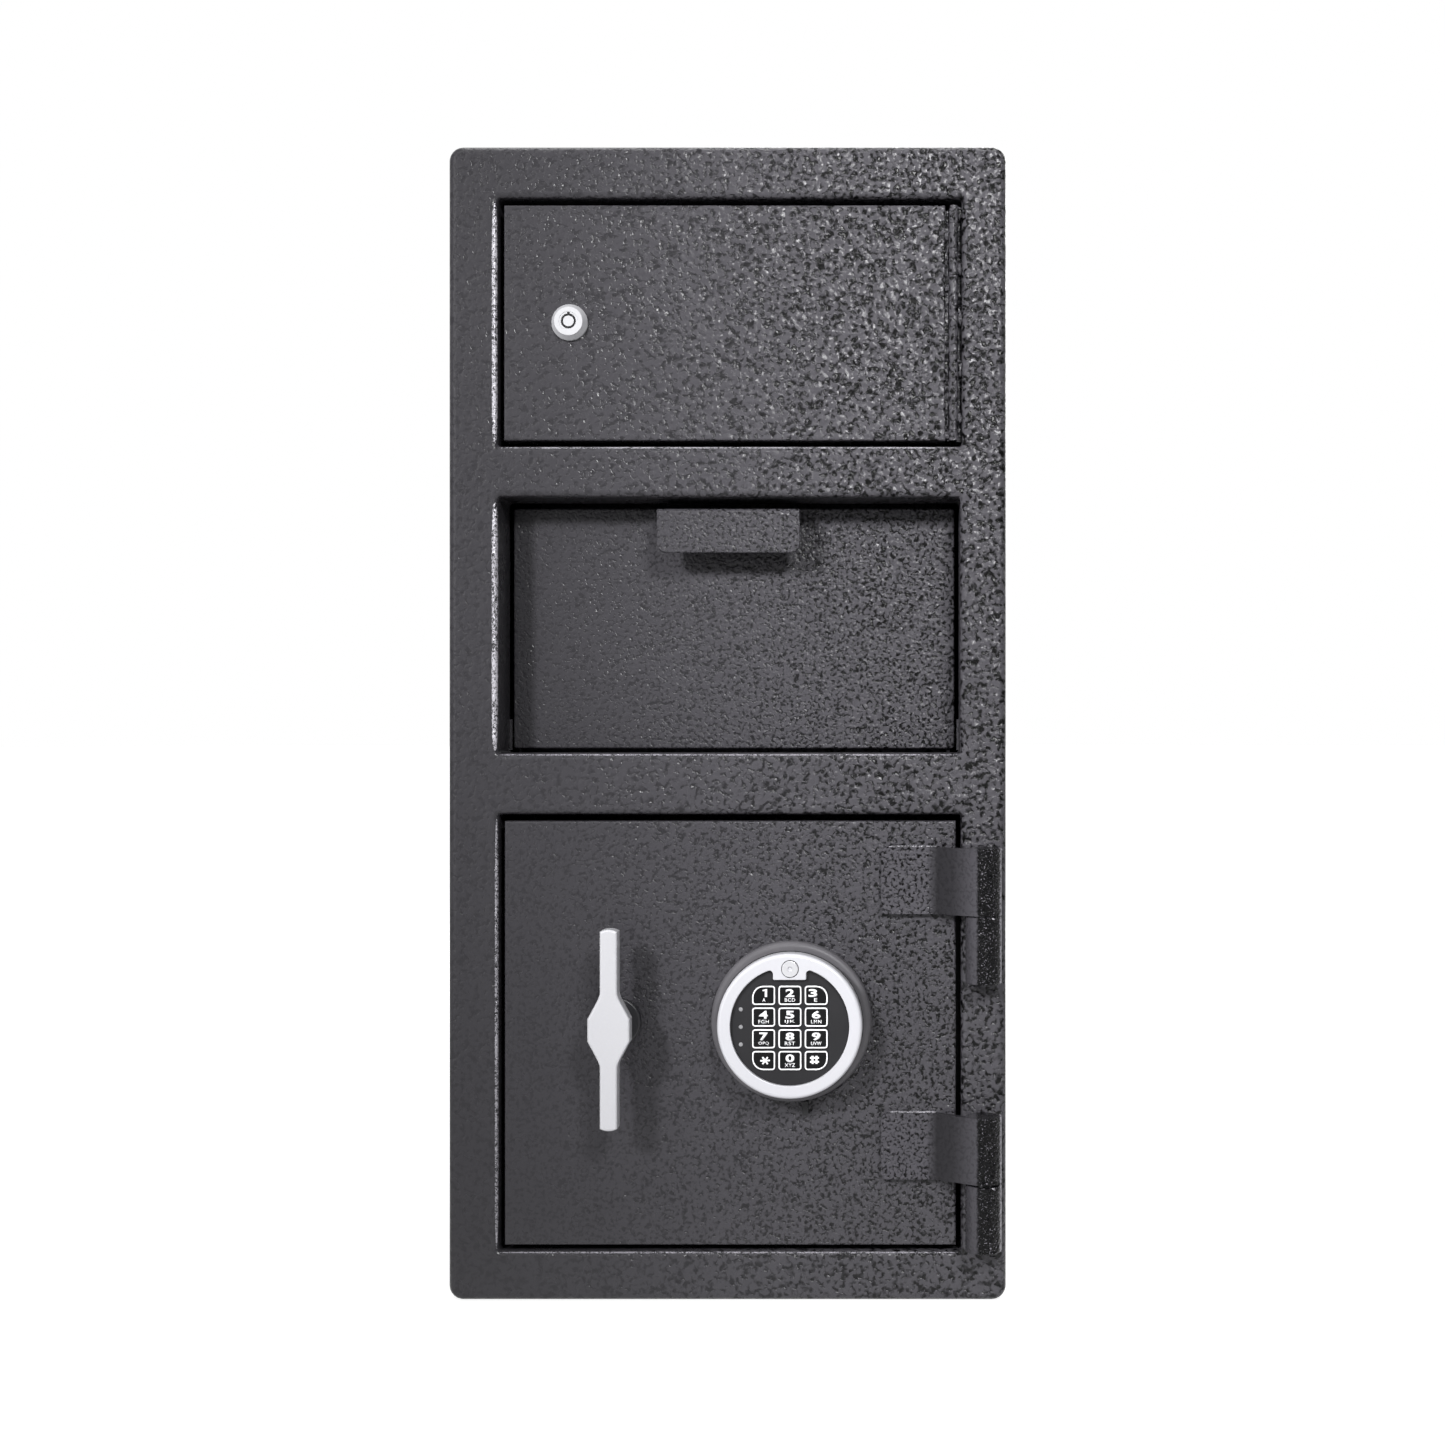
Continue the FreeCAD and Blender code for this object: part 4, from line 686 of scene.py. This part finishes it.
def spot(name, loc, target, power, angle, radius, blend=1.0):
    ld = bpy.data.lights.new(name, "SPOT")
    ld.energy = power
    ld.spot_size = math.radians(angle)
    ld.spot_blend = blend
    ld.shadow_soft_size = radius
    o = bpy.data.objects.new(name, ld)
    o.location = loc
    o.rotation_euler = (Vector(target) - Vector(loc)).to_track_quat("-Z", "Y").to_euler()
    scene.collection.objects.link(o)
    return o


# key from the upper left, aimed at the upper right of the front: it throws the shadows to the right
key = spot("key_left", (-1.00, -1.98, 1.22), (0.21, -0.178, 0.47), 272, 32, 0.15)
key.visible_glossy = False
# small lamp above and to the right of the camera: sparkle on the right-hand texture and on edges facing right or up
area("lamp_top_right", (0.62, -1.85, 1.30), (0.05, -0.178, 0.45), 0.34, 25)
area("overhead", (0.0, 0.2, 2.4), (0, 0, 0.4), 1.4, 14)
area("back_fill", (0.4, 2.2, 1.4), (0, 0.1, 0.4), 1.2, 40)

world = bpy.data.worlds.new("studio")
scene.world = world
world.use_nodes = True
wt = Tree(world.node_tree)
bg = next(n for n in wt.n if n.type == "BACKGROUND")
tc = wt.add("ShaderNodeTexCoord")
sep = wt.add("ShaderNodeSeparateXYZ")
wt.link(tc.outputs["Generated"], sep.inputs[0])
# angle round the object: 0.5 straight in front, rising towards the right
neg = math_node(wt, "MULTIPLY", sep.outputs["Y"], -1.0)
ang = math_node(wt, "ARCTAN2", sep.outputs["X"], neg)
turn = math_node(wt, "ADD", math_node(wt, "DIVIDE", ang, 2 * math.pi), 0.5)


def deg(a):
    return 0.5 + a / 360.0


env = ramp(wt, turn, [(0.0, grey(0.9)), (deg(-140), grey(0.8)), (deg(-95), grey(0.20)), (deg(-58), grey(0.22)), (deg(-44), grey(1.5)),
                      (deg(-24), grey(1.8)), (deg(-19), grey(0.34)), (deg(6), grey(0.30)), (deg(12), grey(0.03)), (deg(80), grey(0.03)),
                      (deg(100), grey(0.8)), (1.0, grey(0.9))])
lp = wt.add("ShaderNodeLightPath")
mixc = wt.add("ShaderNodeMix", data_type="RGBA")
wt.link(lp.outputs["Is Camera Ray"], mixc.inputs["Factor"])
wt.link(env, mixc.inputs["A"])
mixc.inputs["B"].default_value = (1.0, 1.0, 1.0, 1)
wt.link(mixc.outputs["Result"], bg.inputs["Color"])
bg.inputs["Strength"].default_value = 1.0
scene.view_settings.view_transform = "Standard"
